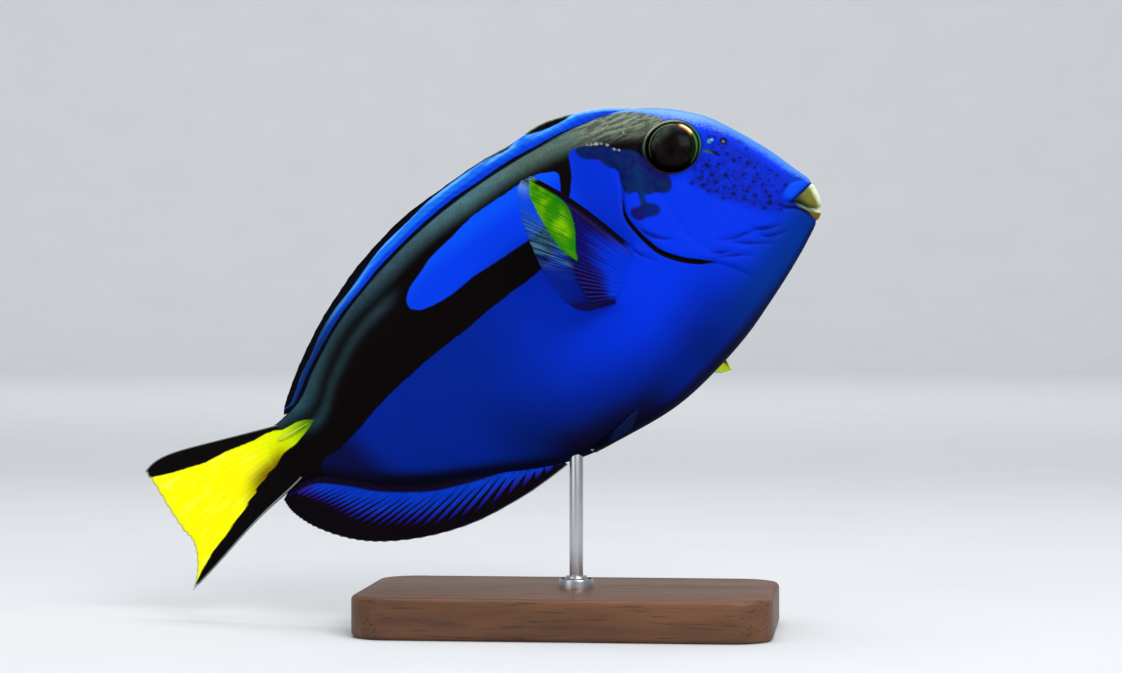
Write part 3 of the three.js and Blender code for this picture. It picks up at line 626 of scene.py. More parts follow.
class Finish:
    """One material, with short ways to add nodes to it."""

    def __init__(self, name, constants):
        self.material = bpy.data.materials.new(name)
        self.material.use_nodes = True
        self.tree = self.material.node_tree
        self.surface = self.tree.nodes["Principled BSDF"]
        for socket, value in constants.items():
            self.set(socket, value)

    def feed(self, socket, value):
        if isinstance(value, Flow):
            self.tree.links.new(value.socket, socket)
        else:
            socket.default_value = value

    def set(self, socket, value):
        self.feed(self.surface.inputs[socket], value)

    def node(self, kind, settings, inputs, output=0):
        """Adds a node: its settings first, then the values or links of its sockets."""
        node = self.tree.nodes.new(kind)
        for name, value in settings.items():
            setattr(node, name, value)
        for name, value in inputs.items():
            self.feed(node.inputs[name], value)
        return Flow(self, node.outputs[output])

    def maths(self, operation, first, second):
        return self.node("ShaderNodeMath", {"operation": operation}, {0: first, 1: second})

    def number(self, name):
        """A number stored at the points of the piece."""
        return self.node("ShaderNodeAttribute", {"attribute_name": name}, {}, "Fac")

    def place(self, scale=None):
        """The place on the piece, with each of its three numbers scaled on its own if asked."""
        place = self.node("ShaderNodeTexCoord", {}, {}, "Object")
        return self.node("ShaderNodeMapping", {}, {"Vector": place, "Scale": scale}) if scale else place

    def flat(self, x, y):
        return self.node("ShaderNodeCombineXYZ", {}, {"X": x, "Y": y, "Z": 0.0})

    def noise(self, size, detail=3.0, roughness=0.5, where=None):
        """Cloudy noise between 0 and 1 whose lumps are about size millimetres across."""
        inputs = {"Vector": where or self.place(), "Scale": 1 / (size * MM)}
        return self.node("ShaderNodeTexNoise", {}, {**inputs, "Detail": detail, "Roughness": roughness})

    def streaks(self, across, along):
        """Noise drawn out into streaks: across and along are numbers, scaled as the streaks should be."""
        return self.noise(1 / MM, where=self.flat(across, along))

    def cells(self, size, flat=None):
        """Distance from the middle of the nearest of many small cells, in cell sizes."""
        settings = {"voronoi_dimensions": "2D" if flat else "3D"}
        inputs = {"Vector": flat or self.place(), "Scale": 1 / (size * MM)}
        return self.node("ShaderNodeTexVoronoi", settings, inputs, "Distance")

    def mix(self, below, above, amount):
        """One colour laid over another. Either is three numbers from 0 to 255, or comes from a node."""
        below, above = (paint(*tone) if isinstance(tone, tuple) else tone for tone in (below, above))
        return self.node("ShaderNodeMix", {"data_type": "RGBA"}, {0: amount, 6: below, 7: above}, 2)

    def bump(self, height, distance):
        """Height from 0 to 1 stands for so many millimetres of relief."""
        inputs = {"Height": height, "Distance": distance * MM, "Strength": 1.0}
        self.set("Normal", self.node("ShaderNodeBump", {}, inputs))


def coat(piece, finish):
    piece.data.materials.clear()
    piece.data.materials.append(finish.material)


# %% [markdown]
# The paint of the skin is laid on in layers, as on a model: the blue ground with painted shade towards the
# chin and belly, the snout's freckles, the dark face marks, a painted highlight along the crown, the black
# palette with its grey-green back, partly painted sheen, then lips, nostrils, slit and yellow wedge.

# %% Skin paint
TAIL_LIME = (240, 250, 4)
# The olive of the painted shade along the lower front edge of the yellow wedge.
TAIL_SHADE_OLIVE = (138, 116, 0)


def tail_shade(finish, edge):
    """Where the yellow turns olive along the lower front edge of the wedge: painted shade."""
    back = finish.number("back_mm")
    along = back.between(168, 176) * back.between(195, 183)
    return edge.between(-6.5, -0.4) * along * finish.number("up_mm").between(12.5, 5)


def skin_paint():
    finish = Finish("skin_paint", {"Specular IOR Level": 0.045, "Coat Weight": 0.0, "IOR": 1.4})
    back = finish.number("back_mm")
    up = finish.number("up_mm")
    keel = finish.number("from_keel")
    cloud = finish.noise(22, 2)
    grain = finish.noise(1.1, 3)
    mottle = finish.noise(2.4, 3)
    wobble = (finish.noise(3.5, 2) - 0.5) * 1.1

    ridge = finish.number("from_ridge")
    drift = (cloud - 0.5) * 6
    colour = finish.mix((0, 46, 212), (0, 33, 138), (back + drift * 3).between(54, 112))
    oval = ridge.between(28, 22) * back.between(56, 62) * back.between(132, 124)
    colour.lay((0, 56, 222), oval)
    colour.lay((4, 80, 228), oval * (ridge + drift).between(17, 10) * 0.7)
    cover = back.between(45, 51) * back.between(66, 56) * up.between(4, 14)
    colour.lay((0, 38, 180), cover * 0.7)
    # Painted shade, from here to the keel lines below: chin, throat and belly darken towards the keel, as
    # the side facing down lies in shade.
    chin = (keel + drift).between(15, 3) * back.between(62, 30)
    colour.lay((0, 44, 134), chin)
    under = back.between(20, 48) * (back + drift).between(122, 102)
    colour.lay((0, 20, 86), (keel + drift).between(26, 6) * under * 0.85)
    shadow = back.between(56, 72) * back.between(106, 94)
    colour.lay((8, 5, 26), (keel + drift * 0.5).between(11, 4) * shadow * 0.9)
    colour.lay((3, 16, 62), keel.between(5, 1) * back.between(92, 106))
    colour.lay((8, 6, 22), keel.between(3.4, 0.7) * back.between(6, 44))
    colour.lay((2, 16, 48), keel.between(1.5, 0.3) * back.between(2, 5) * 0.8)
    corner = (back - keel * 0.6 + drift * 0.4).between(136, 152)
    colour.lay((6, 4, 34), corner * 0.85)

    ground = (finish.number("ground_edge") + wobble).inside(1.6)
    freckled = finish.mix((0, 34, 184), (8, 24, 146), mottle.between(0.35, 0.65))
    colour.lay(freckled, ground * 0.8)
    dots = finish.cells(1.5, finish.flat(back * MM, up * MM)).between(0.36, 0.14)
    dots = dots * finish.noise(3, 1).between(0.38, 0.55)
    colour.lay((2, 10, 84), dots * ground * 0.6)
    spots = (finish.number("spots_edge") + wobble * 0.45 + (grain - 0.5) * 0.5).inside(0.42)
    colour.lay((1, 15, 50), spots * (0.55 + 0.6 * mottle))

    patch = (finish.number("patch_edge") + wobble * 0.6).inside(0.5)
    mark = finish.mix((4, 12, 66), (6, 28, 52), (mottle + (grain - 0.5) * 0.4).between(0.36, 0.62))
    mark.lay((0, 42, 68), (finish.number("teal_edge") + wobble * 1.5).between(2.2, 0) * 0.7)
    eye = finish.number("from_eye")
    mark.lay((24, 8, 76), (eye + wobble).between(11, 8.5) * 0.8)
    colour.lay(mark, patch * 0.93)
    blob = (finish.number("blob_edge") + wobble * 0.5).inside(0.5)
    lobes = finish.mix((2, 22, 80), (13, 5, 60), (back + wobble).between(43.5, 47))
    colour.lay(lobes, blob * 0.9)

    # Painted highlight: a pale, speckled rim along the crown of the head, where the light from above catches
    # it.
    crown = finish.number("crown")
    fine = finish.noise(0.7, 2)
    crown_highlight = finish.mix((70, 124, 226), (112, 158, 214), back.between(10, 22))
    crown_highlight.lay((80, 140, 188), crown.between(0.3, 0.05) * 0.7)
    crown_highlight_amount = (crown + (fine - 0.5) * 0.9).between(1.2, 0.3)
    colour.lay(crown_highlight, crown_highlight_amount * back.between(43, 39))

    # The grey-green back of the palette is partly its own colour and partly painted sheen from the light
    # above, palest at the front.
    tone = finish.number("tone")
    olive_and_sheen = finish.mix((128, 140, 122), (82, 106, 98), back.between(44, 60))
    olive_and_sheen.lay((76, 114, 120), back.between(66, 90))
    olive_and_sheen.lay((56, 86, 96), back.between(94, 118))
    olive_and_sheen.lay((46, 74, 84), back.between(120, 144))
    olive_and_sheen.lay((46, 84, 98), back.between(150, 163))
    brushed = finish.streaks(back * 0.22, up * 0.95)
    streaky = (brushed + (grain - 0.5) * 0.35).between(0.62, 0.4) * back.between(58, 48)
    olive_and_sheen.lay((38, 46, 34), streaky * (0.35 + 0.6 * mottle))
    light = tone * (0.5 + 0.5 * finish.noise(0.8, 2)) * (0.72 + 0.5 * brushed) * (0.76 + 0.6 * mottle)
    olive_and_sheen = finish.mix((6, 2, 3), olive_and_sheen, light)
    line = ridge.between(1.5, 0.8) * back.between(52, 66) * back.between(130, 120)
    olive_and_sheen.lay((2, 4, 10), ridge.between(0.8, 0.3) * back.between(40, 46))
    olive_and_sheen.lay((2, 4, 10), line)
    black = (finish.number("palette_edge") + wobble * 0.5 + (mottle - 0.5) * 0.5).inside(0.24)
    colour.lay(olive_and_sheen, black)
    colour.lay((196, 206, 204), (finish.number("flecks_edge") + (grain - 0.5) * 0.9).inside(0.35) * 0.85)

    colour.lay((3, 2, 6), finish.number("slit_edge").inside(0.14))
    # Painted shade: the cheek and chin creases are darkened.
    colour.lay((0, 12, 96), (finish.number("crease_edge") + (grain - 0.5) * 0.3).between(0.35, -0.3) * 0.75)

    nostril = finish.number("nostril_edge")
    colour.lay((3, 10, 70), nostril.between(0.8, 0.3) * back.between(17.2, 16.6))
    colour.lay((120, 124, 30), nostril.between(0.1, -0.25) * back.between(17.2, 16.6))
    colour.lay((70, 150, 110), finish.number("crescent_edge").inside(0.2) * 0.8)
    # Painted highlight: a small white-blue glint in the rear nostril.
    colour.lay((150, 206, 230), nostril.between(-0.2, -0.6) * back.between(17.4, 18) * 0.85)
    dash = finish.number("dash_edge").inside(0.2)
    colour.lay(finish.mix((4, 14, 60), (30, 84, 34), back.between(19.6, 20.8)), dash)

    socket = eye.between(EYE_RADIUS + 1.5, EYE_RADIUS + 1)
    colour.lay((10, 26, 60), socket * 0.6)
    rim = eye.between(EYE_RADIUS + 0.95, EYE_RADIUS + 0.65)
    around = finish.mix((70, 84, 50), (30, 96, 70), back.between(30, 25) * up.between(38, 32))
    around.lay((150, 164, 130), (up + (grain - 0.5) * 2).between(38, 40.5) * 0.8)
    around.lay((20, 8, 14), (up - back * 0.5).between(19.5, 13.5))
    colour.lay(around, rim)
    colour.lay((5, 4, 6), eye.between(EYE_RADIUS + 0.45, EYE_RADIUS + 0.2))

    fold = finish.number("fold_edge").inside(0.4)
    colour.lay((4, 72, 232), fold * 0.8)
    upper = (finish.number("upper_edge") + wobble * 0.15).inside(0.22)
    lower = (finish.number("lower_edge") + wobble * 0.15).inside(0.22)
    front = (back + grain * 0.6).between(0.9, -0.9)
    upper_paint = finish.mix((104, 106, 40), (50, 52, 30), back.between(1.6, 4.6))
    # Painted highlight: the front edge of the upper lip is whitish.
    upper_paint.lay((216, 226, 190), front)
    lower_paint = finish.mix((6, 34, 130), (104, 128, 110), back.between(5.8, 3.6))
    lower_paint.lay((226, 224, 184), back.between(2.6, 0.2))
    belly_side = finish.number("mouth_edge").between(0.8, 1.3)
    lower_paint.lay((110, 92, 22), belly_side * back.between(5.5, 4.5))
    colour.lay(lower_paint, lower)
    colour.lay(upper_paint, upper)
    # Painted shade: the groove under the lower lip is darkened.
    colour.lay((8, 12, 30), finish.number("under_edge").inside(0.25))
    colour.lay((20, 20, 14), finish.number("mouth_edge").inside(0.18))
    seam = finish.number("upper_edge").between(0.7, 0.3) * (1 - upper) * (1 - lower) * up.between(3, 3.6)
    colour.lay((6, 16, 60), seam)

    wedge = (finish.number("wedge_edge") + wobble * 0.3).inside(0.25)
    wedge_paint = finish.mix((50, 108, 2), (150, 200, 0), back.between(160, 167))
    wedge_paint.lay((214, 240, 2), back.between(164, 172))
    wedge_paint.lay(TAIL_LIME, back.between(170, 177))
    # Painted shade: olive along the wedge's lower front edge.
    wedge_paint.lay(TAIL_SHADE_OLIVE, tail_shade(finish, finish.number("wedge_edge")))
    colour.lay(wedge_paint, wedge)

    finish.set("Base Color", colour)
    finish.set("Roughness", 0.56 - 0.12 * finish.noise(0.9, 2) - (upper + lower) * 0.12)
    scales = finish.cells(0.62) * 0.5 + finish.noise(0.35, 2) * 0.35 + finish.noise(3.2, 2) * 0.9
    finish.bump(scales, 0.075)
    return finish


coat(skin, skin_paint())

# %% [markdown]
# A fin is a thin skin stretched over rays. Its grid has a dozen columns to each ray. A Solidify modifier
# gives it two faces, and a vertex group makes it thicker along the rays, so that they stand out on both
# sides alike. Soft rays fork towards the margin.

# %% Fins


COLUMNS_PER_RAY = 12


def fin(name, middle, rays, rows, thickness, notch, numbers=None):
    """A fin sheet. middle gives back, left and up for places t along the base and r out from it."""
    piece, t, r = start_grid(name, COLUMNS_PER_RAY * (rays - 1), rows)
    beat = np.cos(2 * math.pi * t * (rays - 1))
    forked = np.cos(4 * math.pi * t * (rays - 1))
    reach = r * (1 - notch * (1 - beat) / 2)
    back, left, up = middle(t, reach)
    points = posed(back, left, up)
    move_points(piece, points)
    split = ramp(r, 0.35, 0.75)
    crest = (1 - split) * ((1 + beat) / 2) ** 3 + split * ((1 + forked) / 2) ** 2
    wide = thickness(t, r, crest)
    keep_numbers(piece, {"ray": t * (rays - 1), "comb": (1 + beat) / 2, "along": t, "reach": r})
    if numbers:
        keep_numbers(piece, numbers(t, reach, back, up, points))
    most = float(wide.max())
    group = piece.vertex_groups.new(name="thickness")
    for index, part in enumerate(wide / most):
        group.add([index], float(part), "REPLACE")
    solid = piece.modifiers.new("both_faces", "SOLIDIFY")
    solid.thickness = most * MM
    solid.offset = 0
    solid.vertex_group = "thickness"
    bpy.ops.object.modifier_apply(modifier="both_faces")
    bpy.ops.object.shade_smooth()
    print(name, "has", rays, "rays and", len(piece.data.polygons), "faces")
    return piece


def beyond_line(back, up, line):
    """Distance from a line that runs along the fish, more than zero above it."""
    line = smooth_line(line)
    order = np.argsort(line[:, 0])
    side = np.sign(up - np.interp(back, line[order, 0], line[order, 1]))
    return side * to_line(back, up, line)


DORSAL_EDGE = [
    (36, 51), (43.5, 54.9), (52, 57.5), (61.9, 59.2), (72.4, 57.9), (82.6, 57.5), (97, 55.5),
    (111.5, 52.9), (127.9, 47.1), (137, 42.6), (146.8, 37.1), (158.2, 28.9), (167, 21.1), (169.3, 17.9),
]
DORSAL_BLUE_TOP = [
    (34, 52.4), (38.7, 53.4), (44.2, 56), (50.5, 57.5), (55.5, 56.9), (61.1, 57.1), (66.5, 58.2),
    (68.5, 59.4), (73.4, 57.1), (78.8, 57.1), (83.2, 57), (92, 55.9), (101.2, 54.1), (109.7, 51.4),
    (120.9, 47.9), (133.4, 41.7), (141.4, 38.2), (148.2, 34.1), (154, 29.4), (159.3, 25.7), (161.8, 23.2),
    (166, 19.6),
]
DORSAL_BLUE_LOW = [
    (34, 49.4), (39.9, 51.5), (46.7, 52.9), (56.9, 54), (66.2, 53.9), (75.2, 53.7), (86.4, 52.3),
    (96, 51.1), (109.2, 47.9), (122.9, 43.5), (130.1, 40.4), (138.8, 36.8), (145.8, 32.8), (152.4, 28.6),
    (157.6, 24.9), (160.4, 22.5), (165, 19),
]
ANAL_EDGE = [
    (98.4, -34.6), (105.3, -35.9), (115, -37.1), (130, -37.3), (144, -34.9), (156.9, -30.4),
    (166.6, -24.7), (175.2, -16.5), (179.9, -9.2), (180.8, -4.6),
]
ANAL_BLUE_TOP = [
    (100, -32.4), (104.4, -31.1), (113.7, -28.5), (127.4, -25.9), (139.1, -22.7), (152.3, -16),
    (160.5, -10.1), (169.3, -4.8), (176.8, -4.3),
]
ANAL_BLUE_LOW = [
    (100, -33.6), (105.8, -33.9), (118.7, -34.1), (129.4, -34), (141.2, -31.8), (152.7, -26.7),
    (162.1, -20.7), (168.3, -12.9), (176.8, -4.5),
]


MEDIAN_ROWS = 26


def median_fin(name, edge, blue_top, blue_low, rays, start, end, root_line, sink, slant, bow, ripple):
    def middle(t, r):
        back = start + (end - start) * t
        outer = spline(edge, t + slant * np.sqrt(t) * (1 - t))
        root = root_line(back) + sink
        up = root + (outer[..., 1] - root) * r + bow * t**8 * 4 * r * (1 - r)
        return back + (outer[..., 0] - back) * r, ripple * np.sin(t * 9) * r * r, up

    def numbers(t, r, back, up, points):
        above_top = beyond_line(back, up, blue_top)
        above_low = beyond_line(back, up, blue_low)
        return {
            "back_mm": back,
            "from_margin": to_curve(back, up, edge),
            "above_top": above_top,
            "above_low": above_low,
            "band": above_low / np.maximum(above_low - above_top, 0.2),
        }

    def thickness(t, r, crest):
        return 0.26 + 0.7 * (1 - r) ** 2 + crest * (0.5 - 0.25 * r)

    piece = fin(name, middle, rays, MEDIAN_ROWS, thickness, 0.01, numbers)
    belongs(piece, "fin", name.replace("_sheet", ""))
    return piece


dorsal = median_fin(
    "dorsal_fin_sheet", DORSAL_EDGE, DORSAL_BLUE_TOP, DORSAL_BLUE_LOW,
    rays=28, start=37, end=163, root_line=back_at, sink=-2.6, slant=0.2, bow=0, ripple=0.35,
)
anal = median_fin(
    "anal_fin_sheet", ANAL_EDGE, ANAL_BLUE_TOP, ANAL_BLUE_LOW,
    rays=34, start=100, end=167, root_line=belly_at, sink=2.6, slant=0.52, bow=1.2, ripple=0.5,
)

CAUDAL_EDGE = [
    (219.3, -15.4), (216.3, -11.9), (213.7, -6.5), (213, -2), (214.2, 2.1), (215.3, 9.3), (216.2, 17.8),
    (217.2, 23.1),
]
CAUDAL_TIP = (219, -15)
CAUDAL_RAYS = 17
CAUDAL_ROWS = 44
CAUDAL_ROOT = 172
CAUDAL_ROOT_LOW = -1.6
CAUDAL_ROOT_HEIGHT = 17.4
UPPER_LOBE_BOW = 4.2
LOWER_LOBE_BOW = 29


def caudal_middle(t, r):
    outer = spline(CAUDAL_EDGE, t)
    root = CAUDAL_ROOT_LOW + CAUDAL_ROOT_HEIGHT * t
    up = root + (outer[..., 1] - root) * r
    upper = UPPER_LOBE_BOW * t * t * r * (1 - r**8)
    lower = LOWER_LOBE_BOW * (1 - t) ** 4 * r * r * (1 - r) ** 3
    return CAUDAL_ROOT + (outer[..., 0] - CAUDAL_ROOT) * r, 0.5 * np.sin(t * 5) * r * r, up + upper + lower


def caudal_numbers(t, r, back, up, points):
    out = np.linspace(0, 1, 60)
    sides = [np.stack(caudal_middle(np.full(60, side), out), -1)[:, [0, 2]] for side in (0.0, 1.0)]
    return {
        "wedge_edge": to_outline(back, up, YELLOW_WEDGE),
        "back_mm": back,
        "up_mm": up,
        "rim_edge": np.minimum(to_line(back, up, sides[0]), to_line(back, up, sides[1])),
        "from_tip": np.hypot(back - CAUDAL_TIP[0], up - CAUDAL_TIP[1]),
    }


def caudal_thickness(t, r, crest):
    return 0.28 + 3.2 * (1 - r) ** 4 + crest * (0.5 - 0.25 * r)


caudal = fin(
    "caudal_fin_sheet", caudal_middle, CAUDAL_RAYS, CAUDAL_ROWS, caudal_thickness, 0.007, caudal_numbers,
)
belongs(caudal, "tail_fin", "caudal_fin")

# %% [markdown]
# The paired fins fan out from an oblique line on each flank. The right one is at the top of its stroke
# and the left one at the bottom, so each has its own list of ray tips.

# %% Pectoral and pelvic fins
RIGHT_TIPS = [
    (0, (67.6, -40.4, 37.4)), (0.07, (70.8, -40.5, 37.4)), (0.15, (72.9, -40.1, 35.3)),
    (0.27, (74.8, -38.4, 30.2)), (0.4, (76, -36, 24.1)), (0.52, (76.9, -33, 17.1)),
    (0.66, (76.8, -29.4, 9.5)), (0.8, (75.3, -25.4, 2.9)), (0.9, (72.4, -22.4, -0.4)),
    (1, (67.5, -19.8, -1.3)),
]
LEFT_TIPS = [
    (0, (45.9, 40.4, -26)), (0.1, (48.6, 41, -25.4)), (0.3, (54, 39.8, -22.5)), (0.55, (62.5, 35, -18.2)),
    (0.8, (68.5, 27.5, -12.5)), (1, (69, 20.4, -7.5)),
]
PECTORAL_SINK = 1.6
PECTORAL_RAYS = 16
PECTORAL_ROWS = 44
LEFT_PATCH_SPREAD = 3
PELVIC_RAYS = 5
PELVIC_ROWS = 30
PELVIC_START = 68.5
PELVIC_BASE = 5
PELVIC_TIP = 90
PELVIC_WIDTH = 5.2
PATCH_PIXELS = [
    (528.9, 178.4), (534.5, 177.4), (540.1, 181.5), (547.8, 187.6), (554.9, 193.7), (561, 199.4),
    (566.1, 203.9), (569.7, 210), (571.6, 217.1), (573.5, 223.3), (574.8, 231.4), (575, 241.6),
    (575.4, 251.8), (577.3, 258), (576.6, 261), (571.2, 256.9), (565.6, 253.4), (560, 248.8),
    (554.9, 241.6), (550.8, 235.5), (545.7, 227.3), (540.6, 219.2), (535.5, 210), (531.4, 200.8),
    (528.9, 193.7), (529, 185.5),
]


def in_photo(points):
    """Where points in metres fall in the photograph, in pixels."""
    away = points - np.array(place)
    scale = LENS / SENSOR * PHOTO_WIDTH / -(away @ np.array(backward))
    across = PHOTO_WIDTH / 2 + away @ np.array(rightward) * scale
    down = PHOTO_HEIGHT / 2 - away @ np.array(upward) * scale
    return across, down


def pectoral(name, side, tips, pattern=None):
    tip = [through([(t, point[axis]) for t, point in tips]) for axis in range(3)]
    (front, high), (rear, low) = PECTORAL_BASE

    def middle(t, r):
        back = front + (rear - front) * t
        up = high + (low - high) * t
        left = side * (flank_at(back, up) - PECTORAL_SINK)
        bow = side * 2.4 * r * (1 - r) + 0.25 * np.sin(t * 14) * r * r
        arch = 4 * r * (1 - r) * (1 - t) ** 3
        end = t - 1.1 * t * t * (1 - t)
        return (
            back + (tip[0](end) - back) * r - 1.0 * arch,
            left + (tip[1](end) - left) * r + bow,
            up + (tip[2](end) - up) * r + 1.7 * arch,
        )

    def thickness(t, r, crest):
        leading = 0.5 * bell(t, 0.03) * (1 - 0.6 * r)
        return 0.22 + 1.8 * (1 - ramp(r, 0, 0.2)) + crest * (0.42 - 0.25 * r) + leading

    def numbers(t, r, back, up, points):
        if pattern is None:
            across, down = in_photo(points)
            patch = to_outline(across, down, PATCH_PIXELS) * pixel / MM
        else:
            patch = pattern
        return {"patch_edge": patch, "lead_mm": t * (15 + 35 * r)}

    piece = fin(name, middle, PECTORAL_RAYS, PECTORAL_ROWS, thickness, 0.006, numbers)
    belongs(piece, "fin", name.replace("_sheet", ""))
    return piece


def kept_numbers(piece, name, count):
    values = np.empty(len(piece.data.vertices), np.float32)
    piece.data.attributes[name].data.foreach_get("value", values)
    return values[:count]


right_pectoral = pectoral("pectoral_fin_right_sheet", -1, RIGHT_TIPS)
sheet_points = (COLUMNS_PER_RAY * (PECTORAL_RAYS - 1) + 1) * (PECTORAL_ROWS + 1)
same_pattern = kept_numbers(right_pectoral, "patch_edge", sheet_points)
left_pectoral = pectoral("pectoral_fin_left_sheet", 1, LEFT_TIPS, same_pattern - LEFT_PATCH_SPREAD)


def pelvic(name, side):
    def middle(t, r):
        back = (PELVIC_START + PELVIC_BASE * t) * (1 - r) + PELVIC_TIP * r
        across = PELVIC_WIDTH * (0.35 + (1 - t) * (1 - r)) * 0.75
        up = belly_at(back) + across
        lift = 0.4 + 0.55 * r * (1 - 0.3 * t) - 1.6 * (1 - r) ** 4
        return back, side * (flank_at(back, up) + lift), up - lift

    def thickness(t, r, crest):
        return 0.3 + 0.5 * (1 - r) + 0.3 * crest

    piece = fin(name, middle, PELVIC_RAYS, PELVIC_ROWS, thickness, 0.04)
    belongs(piece, "fin", name.replace("_sheet", ""))
    return piece


right_pelvic = pelvic("pelvic_fin_right_sheet", -1)
left_pelvic = pelvic("pelvic_fin_left_sheet", 1)

# %% [markdown]
# Each fin has its own paint. The colour follows the numbers stored on the sheet: how far a point is from
# the margin or the root, and whether it lies on a ray or on the membrane between two.

# %% Fin paints


def fin_start(name):
    return Finish(name, {"Specular IOR Level": 0.06, "IOR": 1.4, "Roughness": 0.48})


def dorsal_paint():
    finish = fin_start("dorsal_paint")
    back = finish.number("back_mm")
    band = finish.number("band")
    top = finish.number("above_top")
    low = finish.number("above_low")
    margin = finish.number("from_margin")
    long = finish.streaks(back * 0.09, low * 0.9)
    blue = finish.mix((0, 58, 214), (22, 106, 230), (band + long * 0.6).between(0.5, 0.95))
    # Painted highlight: pale blue streaks along the top of the blue band and on the front margin, where the
    # light from above falls.
    blue.lay((92, 172, 250), (band + long * 1.1).between(1.2, 1.55) * top.between(0.1, -0.4))
    blue.lay((150, 206, 255), back.between(62, 46) * margin.between(1.2, 0.3) * 0.8)
    blue.lay((6, 38, 86), back.between(126, 152) * 0.9)
    colour = finish.mix(blue, (4, 4, 10), top.between(-0.15, 0.15))
    rim = margin.between(0.5, 0.3) * top.between(0, 0.3) * back.between(88, 82)
    colour.lay((120, 130, 90), rim * 0.8)
    colour.lay((3, 4, 12), low.between(0.12, -0.15))
    finish.set("Base Color", colour)
    finish.bump(finish.noise(0.6, 2), 0.04)
    return finish


def anal_paint():
    finish = fin_start("anal_paint")
    back = finish.number("back_mm")
    band = finish.number("band")
    top = finish.number("above_top")
    comb = finish.number("comb")
    grain = finish.streaks(finish.number("ray") * 2, back * 0.1)
    depth = 1 - band
    front = back.between(120, 106)
    tooth = (comb + front * 0.2 + (grain - 0.5) * 0.5 - (depth - 0.32) * 0.8).between(0.0, 0.24)
    tooth = tooth * (depth + (1 - comb) * (0.3 - 0.1 * front)).between(1.1, 0.9)
    blue = finish.mix((0, 50, 184), (26, 16, 132), depth.between(0.45, 0.95))
    blue.lay((6, 70, 214), grain.between(0.45, 0.7) * depth.between(0.8, 0.4) * 0.6)
    blue.lay((44, 10, 120), back.between(168, 175) * 0.8)
    tooth = tooth * top.between(0.2, -0.6)
    colour = finish.mix((7, 2, 8), blue, tooth)
    colour.lay((14, 6, 46), top.between(-0.5, 0.2) * top.between(2.4, 0.6) * 0.5)
    colour.lay((118, 120, 132), finish.number("from_margin").between(0.34, 0.2))
    finish.set("Base Color", colour)
    finish.bump(finish.noise(0.6, 2), 0.04)
    return finish


def caudal_paint():
    finish = fin_start("caudal_paint")
    back = finish.number("back_mm")
    comb = finish.number("comb")
    along = finish.number("along")
    reach = finish.number("reach")
    steps = (comb - 0.5) * along.between(0.6, 0.4) * reach.between(0.95, 0.6) * 0.32
    wedge = finish.number("wedge_edge") + steps + (finish.noise(2.2, 3) - 0.5) * 0.5
    long = finish.streaks(finish.number("ray") * 1.1, reach * 5)
    # Painted highlight: pale yellow streaks along the rays.
    yellow = finish.mix((254, 250, 2), (255, 255, 56), long.between(0.5, 0.75))
    yellow = finish.mix(TAIL_LIME, yellow, back.between(176, 188))
    # Painted shade: olive along the wedge's lower front edge, matching the skin's.
    yellow.lay(TAIL_SHADE_OLIVE, tail_shade(finish, wedge))
    colour = finish.mix(yellow, (7, 3, 4), wedge.between(-0.2, 0.2))
    colour.lay((126, 136, 140), finish.number("rim_edge").between(0.36, 0.2) * wedge.between(-0.2, 0.2))
    colour.lay((180, 190, 150), reach.between(0.985, 0.995) * 0.6)
    tip = finish.number("from_tip")
    # Painted glint: a pale dot at the very tip of the lower lobe.
    colour.lay((206, 220, 222), tip.between(0.9, 0.6))
    finish.set("Base Color", colour)
    finish.set("Alpha", 1 - tip.between(2.4, 1.4) * tip.between(0.6, 0.9) * 0.6)
    finish.bump(finish.noise(0.7, 2), 0.04)
    return finish


